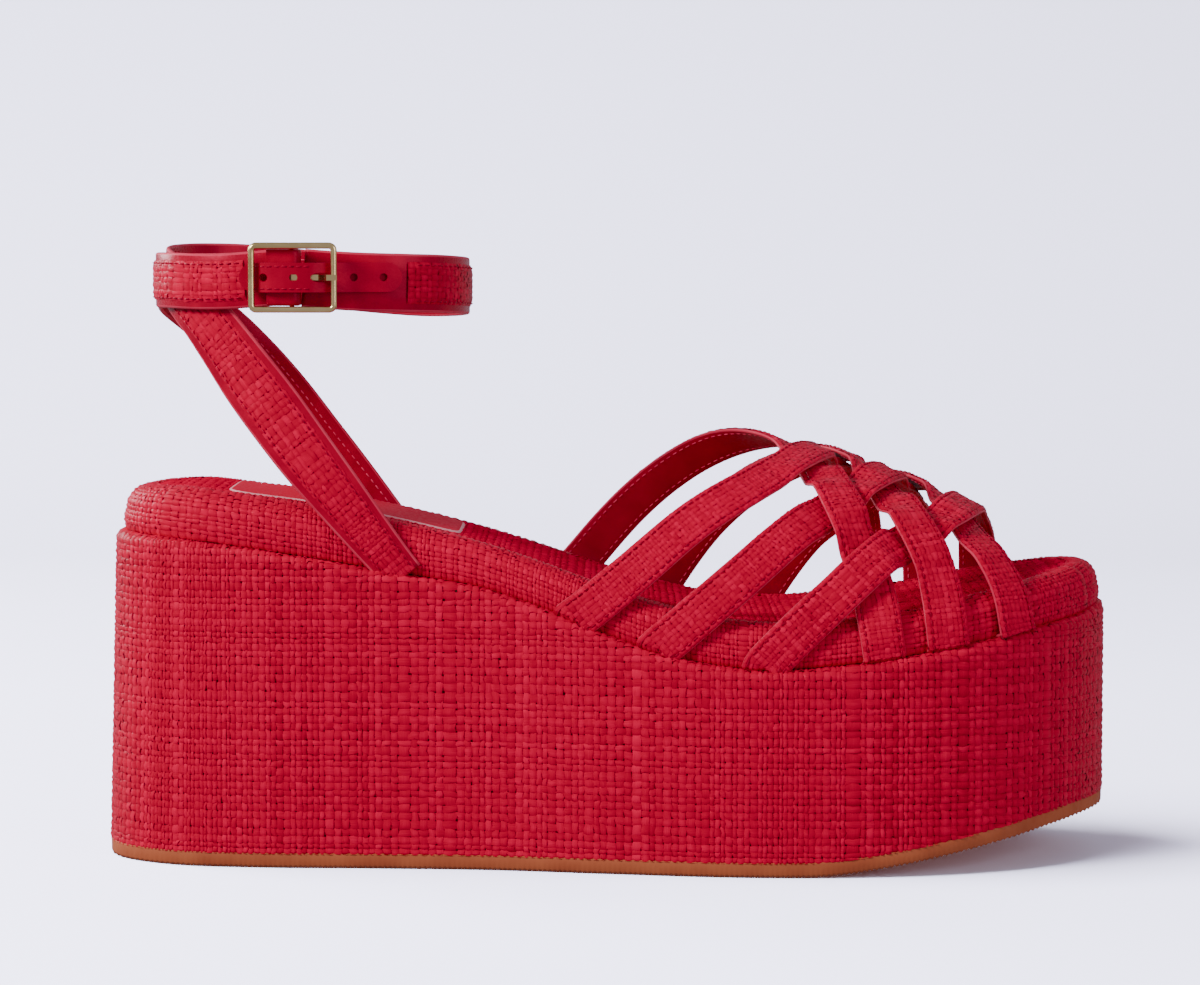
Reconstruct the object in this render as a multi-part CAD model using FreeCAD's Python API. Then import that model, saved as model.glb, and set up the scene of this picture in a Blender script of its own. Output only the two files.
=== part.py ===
# Wedge sandal, right foot: rubber outsole, platform, footbed, six woven vamp straps
# and an ankle strap with a buckle. Millimetres, +X to the toe, +Y to the inner side, +Z up.
import FreeCAD, Part
import math
import os

os.makedirs("parts", exist_ok=True)
V = FreeCAD.Vector

# Driving dimensions
SOLE_FLARE = 3.0          # the heel is this much longer at the floor
OUTSOLE_T = 3.8
COVER_T = 1.2             # raffia cloth on the platform
COVER_GAP = 0.05
SEAM_GAP = 1.4            # strap ends are tucked in here, between platform and footbed
PAD_INSET = 3.6           # footbed edge, inside the platform edge along the sides
PAD_END_INSET = 1.8       # the same at heel and toe
PAD_ROUND = 5.5
PAD_COVER_T = 1.0
BOARD_INSET = 12.0
LABEL_X = -96
LABEL_L = 59
LABEL_W = 40
STRAP_W = 10.8
OVERLAY_W = 10.2
LINING_T = 0.9
RAFFIA_T = 0.84
LAYER_GAP = 0.12
STRAP_INSET = 1.25        # middle of a strap, inside the platform edge
WEAVE_LIFT = 1.55         # how far a crossing strap leaves the arch, up or down
TUCK = 7.0                # length of strap end turned in under the footbed
ANKLE_T = 1.2
ANKLE_RAFFIA_T = 0.74
ANKLE_RAFFIA_SHARE = 0.72 # raffia width over leather width
LOOP_X = -75.6            # middle of the ankle loop
LOOP_A = 39.3             # half its length, to the middle of the leather
LOOP_B = 29.8
FOLD_R = 5.9              # round lower end of the strap, on the fold axis
FOLD_GAP = 0.35
FOLD_X = -58.0
FOLD_Z = 81.6
BUCKLE_L = 22.0
BUCKLE_H = 17.4
BUCKLE_WIRE = 1.6
BUCKLE_ROUND = 1.2
BUCKLE_X = -78.0
BUCKLE_Z = 147.6
FRAME_Y = -34.9
BAR_X = -78.4
BAR_Y = -31.5
BAR_D = 1.6
LOOP_GAP = 0.35           # round the buckle bar
BILLET_W = 7.3
BILLET_T = 1.0
HOLE_D = 2.0
HOLE_PITCH = 7.3
PRONG_HOLE_X = -70.5
WORN_L = 4.8            # the hole in use, stretched along the billet by the prong
WORN_BACK = 3.2         # how far that slot reaches back from the hole's middle
PRONG_D = 1.4

# Plan outline of the platform, from the heel round the outer side to the toe and back
OUTER_SIDE = [(-121, -16), (-108, -27.5), (-88, -32), (-60, -33.5), (-30, -36), (0, -42),
              (30, -47.3), (57, -48.2), (82, -45), (102, -36.5), (117, -23), (125.5, -8)]
TOE = (127.5, 6)
INNER_SIDE = [(124.5, 19), (114, 32), (92, 42.5), (62, 46), (30, 43), (0, 36),
              (-30, 32), (-60, 30.5), (-88, 30.5), (-108, 27), (-121, 16)]
HEEL = (-125, 0)

# Height of the seam between platform and footbed, along the sole
SEAM = [(-150, 84), (-125, 82.4), (-102, 80.8), (-77, 77.4), (-59, 74.4), (-47, 72.4), (-32, 69.8),
        (-15, 64.3), (-4, 59.9), (10, 55), (23, 52.1), (37, 50.6), (54, 51.2), (72, 53.4), (87, 56),
        (98, 57.9), (110, 60), (121, 61.9), (128, 64.2), (150, 72)]
# Height of the footbed's top
PAD_TOP = [(-150, 93), (-121, 94), (-105, 94.6), (-90, 92.8), (-73, 90.5), (-53, 86.6), (-34, 81.8),
           (-18, 76.8), (0, 70.6), (22, 64.3), (38, 62.3), (50, 62.3), (77, 65.4), (93, 69),
           (110, 72.4), (121, 74.4), (150, 78)]
# Underside of the sole, with its toe spring
GROUND = [(-150, 0), (40, 0), (56, 0.5), (72, 2.8), (85, 5.2), (98, 7.8), (111, 10.4),
          (124, 12.2), (150, 13.6)]

# Arch that the vamp straps lie on: crest line height and crest line Y
CREST = [(-30, 120), (0, 116.5), (20, 112.5), (35, 108), (52, 103), (70, 97.6), (90, 89.6),
         (100, 84), (112, 74)]
CREST_Y = [(-30, 12), (35, 12), (52, 11), (70, 8), (90, 3), (112, 0)]

# X of each vamp strap at every 30 degrees of the arch, 0 at the outer side, 180 at the inner
NEAR_STRAPS = [(-9.7, 16, 41.5, 56.5, 64, 68.5, 70), (10.6, 38.5, 61, 74, 80, 84, 85),
               (36.8, 64, 84, 92.5, 97, 98.8, 99.3)]
FAR_STRAPS = [(68.4, 64.5, 56, 47.5, 28, 5.5, -14), (84.4, 81.5, 73, 65.5, 47, 26, 8),
              (102.3, 99.5, 92, 86, 71, 52, 34.6)]


def at(table, x):
    """Smooth value of a table of (x, value) at x."""
    k = 0
    while k < len(table) - 2 and x > table[k + 1][0]:
        k += 1
    x0, y0 = table[k]
    x1, y1 = table[k + 1]
    before = table[max(k - 1, 0)]
    after = table[min(k + 2, len(table) - 1)]
    m0 = (y1 - before[1]) / (x1 - before[0])
    m1 = (after[1] - y0) / (after[0] - x0)
    h = x1 - x0
    t = min(max((x - x0) / h, 0), 1)
    a = (1 + 2 * t) * (1 - t) ** 2
    b = t * (1 - t) ** 2 * h
    c = t * t * (3 - 2 * t)
    d = t * t * (t - 1) * h
    return a * y0 + b * m0 + c * y1 + d * m1


def plan(grow, ends=0.0):
    """Plan outline points; grow moves them all outward, ends moves heel and toe further."""
    points = []
    for x, y in [HEEL] + OUTER_SIDE + [TOE] + INNER_SIDE:
        r = math.hypot(x / 3.0, y)
        nx = x / 3.0 / r
        points.append((x + (grow + ends * abs(nx)) * nx, y + grow * y / r))
    return points


def closed(points):
    curve = Part.BSplineCurve()
    curve.interpolate(Points=points, PeriodicFlag=True)
    return Part.Wire(curve.toShape())


def outline(grow, z, flare=0.0, ends=0.0):
    points = []
    for x, y in plan(grow, ends):
        share = min(max((-95 - x) / 30.0, 0), 1)
        points.append(V(x - flare * share, y, z))
    return closed(points)


def body(grow):
    wires = [outline(grow, -5, SOLE_FLARE), outline(grow, 110)]
    return Part.makeLoft(wires, True, True)


def under(table, lift):
    """Everything below a height line, as a solid that spans the sole."""
    points = [V(x, -80, at(table, x) + lift) for x in range(-150, 151, 6)]
    top = Part.BSplineCurve()
    top.interpolate(points)
    corners = [points[-1], V(150, -80, -40), V(-150, -80, -40), points[0]]
    edges = [top.toShape()] + [Part.makeLine(a, b) for a, b in zip(corners, corners[1:])]
    return Part.Face(Part.Wire(edges)).extrude(V(0, 160, 0))


def side_y(x, inner):
    """Y of the platform edge at x."""
    side = [HEEL] + OUTER_SIDE + [TOE]
    if inner:
        side = [HEEL] + INNER_SIDE[::-1] + [TOE]
    return at(side, x)


def save(shape, name):
    shape.exportStep("parts/" + name + ".step")


# Sole unit
above_outsole = under(GROUND, OUTSOLE_T)
flat = Part.makeBox(300, 160, 40, V(-150, -80, -40))
spring = under(GROUND, 0).common(Part.makeBox(120, 160, 60, V(48, -80, -40)))
below_ground = flat.fuse(spring)
below_seam = under(SEAM, 0)
sole = body(0).common(above_outsole).cut(below_ground)
save(sole, "outsole")
wedge = below_seam.cut(above_outsole)
save(body(-COVER_T - COVER_GAP).common(wedge), "platform_core")
save(body(0).cut(body(-COVER_T)).common(wedge), "platform_cover")


def plan_line(grow, ends):
    """Plan outline as short straight runs."""
    points = closed([V(x, y, 0) for x, y in plan(grow, ends)]).discretize(Number=360)
    return [(p.x, p.y) for p in points]


def reach(line, x):
    """Lowest and highest Y of a plan line at x."""
    found = []
    for (x0, y0), (x1, y1) in zip(line, line[1:] + line[:1]):
        if x0 != x1 and (x0 - x) * (x1 - x) <= 0:
            found.append(y0 + (y1 - y0) * (x - x0) / (x1 - x0))
    return min(found), max(found)


def pad_height(line, x, y, drop, radius):
    """Height of the rolled footbed surface."""
    away = min(min(math.hypot(x - px, y - py) for px, py in line), radius)
    return at(PAD_TOP, x) - drop - radius + math.sqrt(radius ** 2 - (radius - away) ** 2)


def pad_profile(line, x, drop, radius):
    """Cross-section of the footbed at x, from one lower corner over the top to the other."""
    low, high = reach(line, x)
    half = (high - low) / 2
    step = min(radius, half * 0.9)
    insets = [0, 0.08 * step, 0.28 * step, 0.58 * step, step, (step + half) / 2]
    ys = [low + i for i in insets] + [high - i for i in reversed(insets)]
    floor = at(SEAM, x) + SEAM_GAP
    top = [V(x, y, max(pad_height(line, x, y, drop, radius), floor + 1)) for y in ys]
    return [V(x, low, floor)] + top + [V(x, high, floor)]


def stations(first, last, count):
    middle = (first + last) / 2
    half = (last - first) / 2
    return [middle - half * math.cos(math.pi * k / count) for k in range(count + 1)]


def skin(profiles):
    wires = [Part.makePolygon(p + [p[0]]) for p in profiles]
    return Part.makeLoft(wires, True, True)


def pad_solid(inset, drop, radius, spare):
    """Solid footbed layer; spare is how far it stops short of the line at heel and toe."""
    line = plan_line(-inset, PAD_INSET - PAD_END_INSET)
    xs = [p[0] for p in line]
    return skin([pad_profile(line, x, drop, radius)
                 for x in stations(min(xs) + spare, max(xs) - spare, 34)])


def pad_cover():
    """Raffia skin over the top and sides of the cushion, closed at heel and toe."""
    outer = plan_line(-PAD_INSET, PAD_INSET - PAD_END_INSET)
    inner = plan_line(-PAD_INSET - PAD_COVER_T, PAD_INSET - PAD_END_INSET)
    xs = [p[0] for p in inner]
    places = stations(min(xs) + 0.3, max(xs) - 0.3, 34)
    rings = []
    for x in places:
        above = pad_profile(outer, x, 0, PAD_ROUND)
        below = pad_profile(inner, x, PAD_COVER_T, PAD_ROUND - PAD_COVER_T)
        rings.append(above + below[::-1])
    cover = skin(rings)
    xs = [p[0] for p in outer]
    for x, end in ((places[0], min(xs) + 0.3), (places[-1], max(xs) - 0.3)):
        cap = skin([pad_profile(outer, x, 0, PAD_ROUND), pad_profile(outer, end, 0, PAD_ROUND)])
        cover = cover.fuse(cap)
    return cover


foam_inset = PAD_COVER_T + 0.12
foam = pad_solid(PAD_INSET + foam_inset, foam_inset, PAD_ROUND - PAD_COVER_T, 0.4)
save(foam, "footbed_cushion")
save(pad_cover(), "footbed_cover")

board = body(-PAD_INSET - BOARD_INSET).common(under(SEAM, SEAM_GAP - 0.2)).cut(under(SEAM, 0.02))
save(board, "insole_board")

# Name patch on the heel of the footbed, without any lettering
label = Part.makeBox(LABEL_L, LABEL_W, 60, V(LABEL_X, -LABEL_W / 2 - 1, 60))
corners = [e for e in label.Edges if e.BoundBox.ZLength > 50]
label = label.makeFillet(4, corners)
save(label.common(under(PAD_TOP, 0.65)).cut(under(PAD_TOP, 0.05)), "sock_label")


def foot_y(x, inner):
    """Y where the arch meets the sole, nearer to the platform edge at the toe."""
    inset = STRAP_INSET - 0.9 * smooth((x - 78) / 18)
    if inner:
        return side_y(x, True) - inset
    return side_y(x, False) + inset


def arch(x, angle):
    """Point on the vamp arch at x, angle in degrees from the outer side."""
    t = math.radians(angle)
    z0 = at(SEAM, x)
    yc = at(CREST_Y, x)
    if angle <= 90:
        edge = foot_y(x, False)
    else:
        edge = foot_y(x, True)
    y = yc + (edge - yc) * abs(math.cos(t)) ** 0.82
    return V(x, y, z0 + (at(CREST, x) - z0) * math.sin(t))


def arch_angle(p):
    """Angle on the arch of a point near it."""
    yc = at(CREST_Y, p.x)
    edge = foot_y(p.x, False)
    if p.y > yc:
        edge = foot_y(p.x, True)
    share = min(abs((p.y - yc) / (edge - yc)), 1) ** (1 / 0.82)
    angle = math.degrees(math.acos(share))
    return angle if p.y <= yc else 180 - angle


def strap_x(strap, angle):
    return at([(30 * k, x) for k, x in enumerate(strap)], angle)


def family_place(family, x, angle):
    """Where x lies among the three straps of a family: 0, 1, 2 on their middles."""
    xs = [strap_x(s, angle) for s in family]
    if x < xs[1]:
        return (x - xs[0]) / (xs[1] - xs[0])
    return 1 + (x - xs[1]) / (xs[2] - xs[1])


def smooth(t):
    t = min(max(t, 0), 1)
    return t * t * (3 - 2 * t)


def lift(p, family, number, over):
    """Height above the arch of a strap where it crosses the other family."""
    place = family_place(family, p.x, arch_angle(p))
    outside = max(-0.36 - place, place - 2.36, 0)
    place = min(max(place, 0), 2)
    low = math.floor(place)
    part = smooth((place - low - 0.36) / 0.28)
    first = 1 if (number + low) % 2 == 0 else -1
    wave = first * (1 - 2 * part)
    return over * WEAVE_LIFT * wave * (1 - smooth(outside / 0.45))


def vamp_strap(strap, family, number, over, low, high, width, tuck):
    """Ribbon between two heights (low, high) from the strap's middle layer."""
    sections = []
    for k in range(0, 61):
        angle = 3.0 * k
        x = strap_x(strap, angle)
        p = arch(x, angle)
        a = arch(strap_x(strap, max(angle - 2, 0)), max(angle - 2, 0))
        b = arch(strap_x(strap, min(angle + 2, 180)), min(angle + 2, 180))
        along = (b - a).normalize()
        u = arch(x + 1, angle)
        v = arch(x - 1, angle)
        out = (u - v).cross(along).normalize()
        if out.z < 0 and 20 < angle < 160:
            out = out * -1
        if angle <= 20 and out.y > 0:
            out = out * -1
        if angle >= 160 and out.y < 0:
            out = out * -1
        across = out.cross(along).normalize()
        ends = []
        for side in (-0.5, 0.5):
            e = p + across * (side * width)
            ends.append(e + out * lift(e, family, number, over))
        sections.append([ends[0] + out * low, ends[1] + out * low,
                         ends[1] + out * high, ends[0] + out * high])
    sections = sections[1:-1:2]
    if tuck:
        sections = turned_in(sections[0], -1)[::-1] + sections + turned_in(sections[-1], 1)
    return ribbon(sections)


def turned_in(section, side):
    """Strap end that turns in under the footbed, from the last section above it."""
    mid = (section[0] + section[1] + section[2] + section[3]) * 0.25
    across = section[1] - section[0]
    along = V(across.x, across.y, 0).normalize()
    out = V(-along.y, along.x, 0)
    if out.y * side < 0:
        out = out * -1
    half = LINING_T / 2
    drop = 1.6
    places = []
    for turn in (20, 45, 70, 90):
        t = math.radians(turn)
        depth = -drop * (1 - math.cos(t))
        places.append((depth, drop * (1 - math.sin(t)), out * math.cos(t) - V(0, 0, math.sin(t))))
    places.append((-drop - TUCK, 0, V(0, 0, -1)))
    result = []
    for depth, height, normal in places:
        rows = []
        for s, h in ((-0.5, -half), (0.5, -half), (0.5, half), (-0.5, half)):
            q = mid + out * depth + along * (s * across.Length)
            q.z = at(SEAM, q.x) + SEAM_GAP / 2 + height
            rows.append(q + normal * h)
        result.append(rows)
    return result


def ribbon(sections):
    wires = [Part.makePolygon(s + [s[0]]) for s in sections]
    shape = Part.makeLoft(wires, True, True)
    if shape.Volume < 0:
        shape.reverse()
    return shape


# Vamp: three straps from the outer side at the rear, three from the inner side, plainly woven
for number in range(3):
    near = NEAR_STRAPS[number]
    far = FAR_STRAPS[number]
    for name, strap, family, over in (("outer", near, FAR_STRAPS, 1), ("inner", far, NEAR_STRAPS, -1)):
        label = "vamp_" + name + "_" + str(number + 1)
        half = (LINING_T + RAFFIA_T + LAYER_GAP) / 2
        lining = vamp_strap(strap, family, number, over, -half, -half + LINING_T, STRAP_W, True)
        save(lining, label + "_lining")
        raffia = vamp_strap(strap, family, number, over, half - RAFFIA_T, half, OVERLAY_W, False)
        save(raffia, label + "_raffia")


# Ankle strap: width of a riser by height, then the same all round the loop
OUTER_WIDTH = [(60, 10), (74, 10.5), (84, 12), (94, 13.7), (104, 15), (120, 15.6), (143, 14.6), (150, 14.6)]
INNER_WIDTH = [(60, 10), (74, 10.5), (84, 12), (94, 13.7), (104, 15), (120, 15.2), (143, 13.2), (150, 13.2)]


def loop(x, side, z, inset):
    """Point on the ankle loop; side is -1 outer, 1 inner."""
    share = abs((x - LOOP_X) / (LOOP_A - inset)) ** 2.4
    return V(x, side * (LOOP_B - inset) * max(1 - share, 0) ** (1 / 2.4), z)


def outward(p):
    turn = smooth((p.z - 104) / 26)
    return V((p.x - LOOP_X) / LOOP_A ** 2 * turn, p.y / LOOP_B ** 2, 0).normalize()


def ankle_ribbon(points, widths, share, low, high, start=0.0, end=1.0, steps=60):
    """Band along points; share of the full width, from low to high off the leather's middle."""
    curve = Part.BSplineCurve()
    curve.interpolate(points)
    first = curve.FirstParameter
    span = curve.LastParameter - first
    sections = []
    for k in range(steps + 1):
        u = first + span * (start + (end - start) * k / steps)
        p = curve.value(u)
        along = V(*curve.tangent(u)[0]).normalize()
        out = outward(p)
        out = (out - along * out.dot(along)).normalize()
        across = out.cross(along)
        half = across * (at(widths, p.z) * share / 2)
        sections.append([p - half + out * low, p + half + out * low,
                         p + half + out * high, p - half + out * high])
    return ribbon(sections)


OUTER_LINE = [V(-47.4, -32.3, 69), V(-51.9, -32.3, 74.4), V(-59.2, -32.3, 83.3), V(-67.5, -32, 93.7),
              V(-75.4, -31, 103.6), V(-83.5, -29, 114.3), V(-90.5, -26.5, 123.4), V(-96, -24.1, 130.9),
              loop(-101.4, -1, 137.8, 2.7), loop(-106.5, -1, 143, 2.7), loop(-110.6, -1, 146.6, 2.7),
              loop(-112.3, 1, 147.9, 2.7), loop(-110.6, 1, 148.4, 2.7), loop(-105, 1, 148.6, 2.7),
              loop(-95, 1, 148.3, 2.6), loop(-84, 1, 147.3, 2), loop(-72, 1, 145.9, 1),
              loop(-60, 1, 144.7, 0.2), loop(-49, 1, 144, -0.3), loop(-40.5, 1, 144.2, -0.3),
              loop(-36.4, 1, 144.8, -0.3), loop(-37.2, -1, 145.4, -0.3), loop(-43, -1, 145.9, -0.3),
              loop(-52, -1, 146.2, -0.2), loop(-62, -1, 146.5, 0), V(-69, -29.75, 146.9),
              V(-75.7, -29.75, 147.4)]
INNER_LINE = [V(-47.6, 29.2, 69), V(-52.1, 29, 74.4), V(-59.3, 28.9, 83.3), V(-68, 29, 93.7),
              V(-76.4, 29.3, 103.6), V(-84.8, 29.3, 114.3), V(-92.3, 28, 123.4),
              loop(-98.5, 1, 130.4, 0), loop(-104.2, 1, 136, 0), loop(-109.6, 1, 140.4, 0),
              loop(-113.6, 1, 144, 0), loop(-114.85, 1, 146.2, 0), loop(-113.6, -1, 146.7, 0),
              loop(-109.4, -1, 146.7, 0), loop(-103, -1, 146.5, 0), loop(-95.5, -1, 146.6, 0),
              loop(-88, -1, 147.1, 0), V(-83, -29.75, 147.5), V(BAR_X, -29.75, 147.6)]

half_t = ANKLE_T / 2
raffia_low = half_t + LAYER_GAP
raffia_high = raffia_low + ANKLE_RAFFIA_T
outer_leather = ankle_ribbon(OUTER_LINE, OUTER_WIDTH, 1, -half_t, half_t, steps=90)
outer_raffia = ankle_ribbon(OUTER_LINE, OUTER_WIDTH, ANKLE_RAFFIA_SHARE, raffia_low, raffia_high,
                            0, 0.908, 84)
inner_leather = ankle_ribbon(INNER_LINE, INNER_WIDTH, 1, -half_t, half_t)
inner_raffia = ankle_ribbon(INNER_LINE, INNER_WIDTH, ANKLE_RAFFIA_SHARE, raffia_low, raffia_high, 0, 0.93)

# Fold of each riser where it leaves the sole: a round end that turns in a matching root
slope = V(-7.3, 0, 8.9).normalize()
level_line = V(slope.z, 0, -slope.x)
fold = V(FOLD_X, -60, FOLD_Z)


def slab(a, b, c, d):
    face = Part.Face(Part.makePolygon([a, b, c, d, a]))
    return face.extrude(V(0, 120, 0))


lower = slab(fold - level_line * 30, fold + level_line * 30,
             fold + level_line * 30 - slope * 30, fold - level_line * 30 - slope * 30)
disc = Part.makeCylinder(FOLD_R, 120, fold, V(0, 1, 0))
wide_disc = Part.makeCylinder(FOLD_R + FOLD_GAP, 120, fold, V(0, 1, 0))
root_top = fold - slope * 2.6
upper = slab(root_top - level_line * 30, root_top + level_line * 30,
             root_top + level_line * 30 + slope * 200, root_top - level_line * 30 + slope * 200)
seam_solid = under(SEAM, 0.3)
tongue_layer = under(SEAM, 0.3 + LINING_T).cut(seam_solid)


def riser(shape):
    return shape.cut(lower.cut(disc)).removeSplitter()


def root(shape):
    near_base = Part.makeBox(40, 120, 40, V(-75, -60, 60))
    return shape.common(near_base).cut(wide_disc).cut(upper).cut(seam_solid)


def whole(shape):
    """The largest solid of a shape, without crumbs."""
    return max(shape.Solids, key=lambda s: s.Volume)


for name, leather, raffia, side, y in (("outer", outer_leather, outer_raffia, -1, -32.3),
                                       ("inner", inner_leather, inner_raffia, 1, 29.0)):
    save(whole(riser(raffia)), name + "_ankle_raffia")
    tongue = Part.makeBox(9.5, 10, 40, V(-56.6, min(y, y - side * 10), 60))
    tongue = tongue.common(tongue_layer)
    save(whole(root(leather).fuse(tongue).removeSplitter()), name + "_riser_root")
    save(whole(root(raffia)), name + "_riser_root_raffia")
save(whole(riser(outer_leather)), "outer_ankle_leather")

# The inner strap's leather folds round the buckle bar, with a slot for the prong
turn_r = BAR_D / 2 + LOOP_GAP
ring = Part.makeCylinder(turn_r + ANKLE_T, 30, V(BAR_X, BAR_Y, BUCKLE_Z - 15))
ring = ring.cut(Part.makeBox(10, 20, 40, V(BAR_X - 10, BAR_Y - 10, BUCKLE_Z - 20)))
leaf = Part.makeBox(6.2, ANKLE_T, 30, V(BAR_X - 6.2, BAR_Y - turn_r - ANKLE_T, BUCKLE_Z - 15))
fold_over = ring.fuse(leaf).cut(Part.makeCylinder(turn_r, 40, V(BAR_X, BAR_Y, BUCKLE_Z - 20)))
fold_h = BUCKLE_H - 2 * BUCKLE_WIRE - 0.7
fold_over = fold_over.common(Part.makeBox(60, 20, fold_h, V(-110, -40, BUCKLE_Z - fold_h / 2)))
narrow = Part.makeBox(20, 20, 20, V(-91, -40, BUCKLE_Z - 10))
narrow = narrow.cut(Part.makeBox(30, 30, fold_h, V(-95, -45, BUCKLE_Z - fold_h / 2)))
strap_end = riser(inner_leather).cut(narrow).fuse(fold_over)
slot_h = PRONG_D + 0.4 + 1.4
slot = Part.makeBox(8, 7, slot_h, V(BAR_X - 2.6, BAR_Y - 4.2, BUCKLE_Z - slot_h / 2))
save(whole(strap_end.cut(slot).removeSplitter()), "inner_ankle_leather")

# Billet: narrow strip with five holes, over the folded leather and under both end bars
BILLET_LINE = [(-51.4, -27.3), (-55, -28.5), (-58, -29.3), (-61, -30), (-64, -30.8), (-67.5, -32.1),
               (-69.4, -32.9), (-73.4, -34.7), (-76, -35), (-83.5, -35), (-86, -34), (-88, -32.7),
               (-91.4, -32.5)]


def billet_edge(shift):
    curve = Part.BSplineCurve()
    curve.interpolate([V(x, y + shift, 0) for x, y in BILLET_LINE])
    return curve.toShape()


inner_edge = billet_edge(BILLET_T / 2)
outer_edge = billet_edge(-BILLET_T / 2)
ends = [Part.makeLine(inner_edge.valueAt(u), outer_edge.valueAt(w))
        for u, w in ((inner_edge.FirstParameter, outer_edge.FirstParameter),
                     (inner_edge.LastParameter, outer_edge.LastParameter))]
profile = Part.Face(Part.Wire([inner_edge, ends[1], outer_edge, ends[0]]))
profile.translate(V(0, 0, BUCKLE_Z - 20))
strip = profile.extrude(V(0, 0, 40))
stadium = Part.makeBox(40 - BILLET_W, 60, BILLET_W, V(-91.4 + BILLET_W / 2, -60, BUCKLE_Z - BILLET_W / 2))
for x in (-91.4 + BILLET_W / 2, -51.4 - BILLET_W / 2):
    stadium = stadium.fuse(Part.makeCylinder(BILLET_W / 2, 60, V(x, -60, BUCKLE_Z), V(0, 1, 0)))
billet = strip.common(stadium)
for k in range(-2, 3):
    x = PRONG_HOLE_X + k * HOLE_PITCH
    billet = billet.cut(Part.makeCylinder(HOLE_D / 2, 60, V(x, -60, BUCKLE_Z), V(0, 1, 0)))
worn = Part.makeBox(WORN_L, 60, PRONG_D + 1, V(PRONG_HOLE_X - WORN_BACK, -60, BUCKLE_Z - PRONG_D / 2 - 0.5))
save(whole(billet.cut(worn)), "billet")


def wire_path(points, radius):
    """Round wire along straight runs, with balls at the bends."""
    shape = Part.makeSphere(radius, points[0])
    for a, b in zip(points, points[1:]):
        shape = shape.fuse(Part.makeCylinder(radius, (b - a).Length, a, b - a))
        shape = shape.fuse(Part.makeSphere(radius, b))
    return shape.removeSplitter()


# Buckle frame: rounded rectangle of round wire with a lowered middle bar
half_l = (BUCKLE_L - BUCKLE_WIRE) / 2
half_h = (BUCKLE_H - BUCKLE_WIRE) / 2
middle = V(BUCKLE_X, FRAME_Y, BUCKLE_Z)
rim = Part.makePolygon([middle + V(sx * half_l, 0, sz * half_h)
                        for sx, sz in ((-1, -1), (1, -1), (1, 1), (-1, 1), (-1, -1))])
plate = Part.Face(rim).extrude(V(0, 1, 0))
plate = plate.makeFillet(BUCKLE_ROUND, [e for e in plate.Edges if abs(e.BoundBox.YLength - 1) < 0.01])
faces = [f for f in plate.Faces if abs(f.CenterOfMass.y - FRAME_Y) < 0.01]
path = faces[0].OuterWire
start = path.Edges[0]
at_start = start.valueAt(start.FirstParameter)
heading = start.tangentAt(start.FirstParameter)
hoop = path.makePipeShell([Part.Wire(Part.makeCircle(BUCKLE_WIRE / 2, at_start, heading))], True, True)
top = BUCKLE_Z + half_h
bottom = BUCKLE_Z - half_h
bar = wire_path([V(BAR_X, FRAME_Y, bottom), V(BAR_X, BAR_Y, bottom), V(BAR_X, BAR_Y, top),
                 V(BAR_X, FRAME_Y, top)], BAR_D / 2)
save(hoop.fuse(bar).removeSplitter(), "buckle_frame")

# Prong: an eye round the middle bar, then a bent strip through the billet and over the front bar
def beside(points, shift):
    """Polyline moved sideways by shift, with mitred corners."""
    moved = []
    for k, p in enumerate(points):
        before = (p - points[max(k - 1, 0)]) if k else points[1] - p
        after = (points[k + 1] - p) if k + 1 < len(points) else before
        a = before.normalize()
        b = V(after).normalize()
        normal = V(-(a + b).y, (a + b).x, 0).normalize()
        moved.append(p + normal * (shift / normal.dot(V(-a.y, a.x, 0))))
    return moved


eye_r = BAR_D / 2 + 0.3
eye_wall = 1.0
rest_y = FRAME_Y - BUCKLE_WIRE / 2 - 0.3 - PRONG_D / 2
front = BUCKLE_X + half_l
line = [V(BAR_X, BAR_Y - 1.4, 0), V(-71.3, BAR_Y - 1.4, 0), V(-70, BAR_Y - 3.8, 0),
        V(front - 1.3, rest_y, 0), V(front + 0.9, rest_y, 0)]
edge = beside(line, PRONG_D / 2) + beside(line, -PRONG_D / 2)[::-1]
blade = Part.Face(Part.makePolygon(edge + [edge[0]])).extrude(V(0, 0, PRONG_D))
blade.translate(V(0, 0, BUCKLE_Z - PRONG_D / 2))
low = V(BAR_X, BAR_Y, BUCKLE_Z - PRONG_D / 2)
eye = Part.makeCylinder(eye_r + eye_wall, PRONG_D, low)
prong = eye.fuse(blade).removeSplitter().cut(Part.makeCylinder(eye_r, 20, low - V(0, 0, 5)))
save(whole(prong), "buckle_prong")
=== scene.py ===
import math

import bpy
import numpy as np
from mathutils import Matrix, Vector
from mathutils.geometry import delaunay_2d_cdt


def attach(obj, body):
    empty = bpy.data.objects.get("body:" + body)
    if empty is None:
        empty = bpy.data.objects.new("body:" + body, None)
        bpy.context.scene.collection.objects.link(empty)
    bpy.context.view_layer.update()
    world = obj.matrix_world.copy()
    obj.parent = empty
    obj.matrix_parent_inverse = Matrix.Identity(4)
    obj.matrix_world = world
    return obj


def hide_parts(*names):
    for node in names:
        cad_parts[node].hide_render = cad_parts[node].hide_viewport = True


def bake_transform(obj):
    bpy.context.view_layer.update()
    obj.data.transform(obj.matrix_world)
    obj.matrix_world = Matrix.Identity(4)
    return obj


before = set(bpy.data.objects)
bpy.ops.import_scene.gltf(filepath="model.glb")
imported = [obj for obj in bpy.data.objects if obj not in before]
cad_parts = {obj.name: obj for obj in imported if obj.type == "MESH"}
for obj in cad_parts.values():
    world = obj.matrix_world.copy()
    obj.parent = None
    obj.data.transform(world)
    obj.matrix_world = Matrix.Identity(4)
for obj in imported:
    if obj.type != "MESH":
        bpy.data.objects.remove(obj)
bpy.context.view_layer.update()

# ---------- sizes, in millimetres: x forward to the toe, y to the inner side, z up ----------

MM = 0.001

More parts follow.
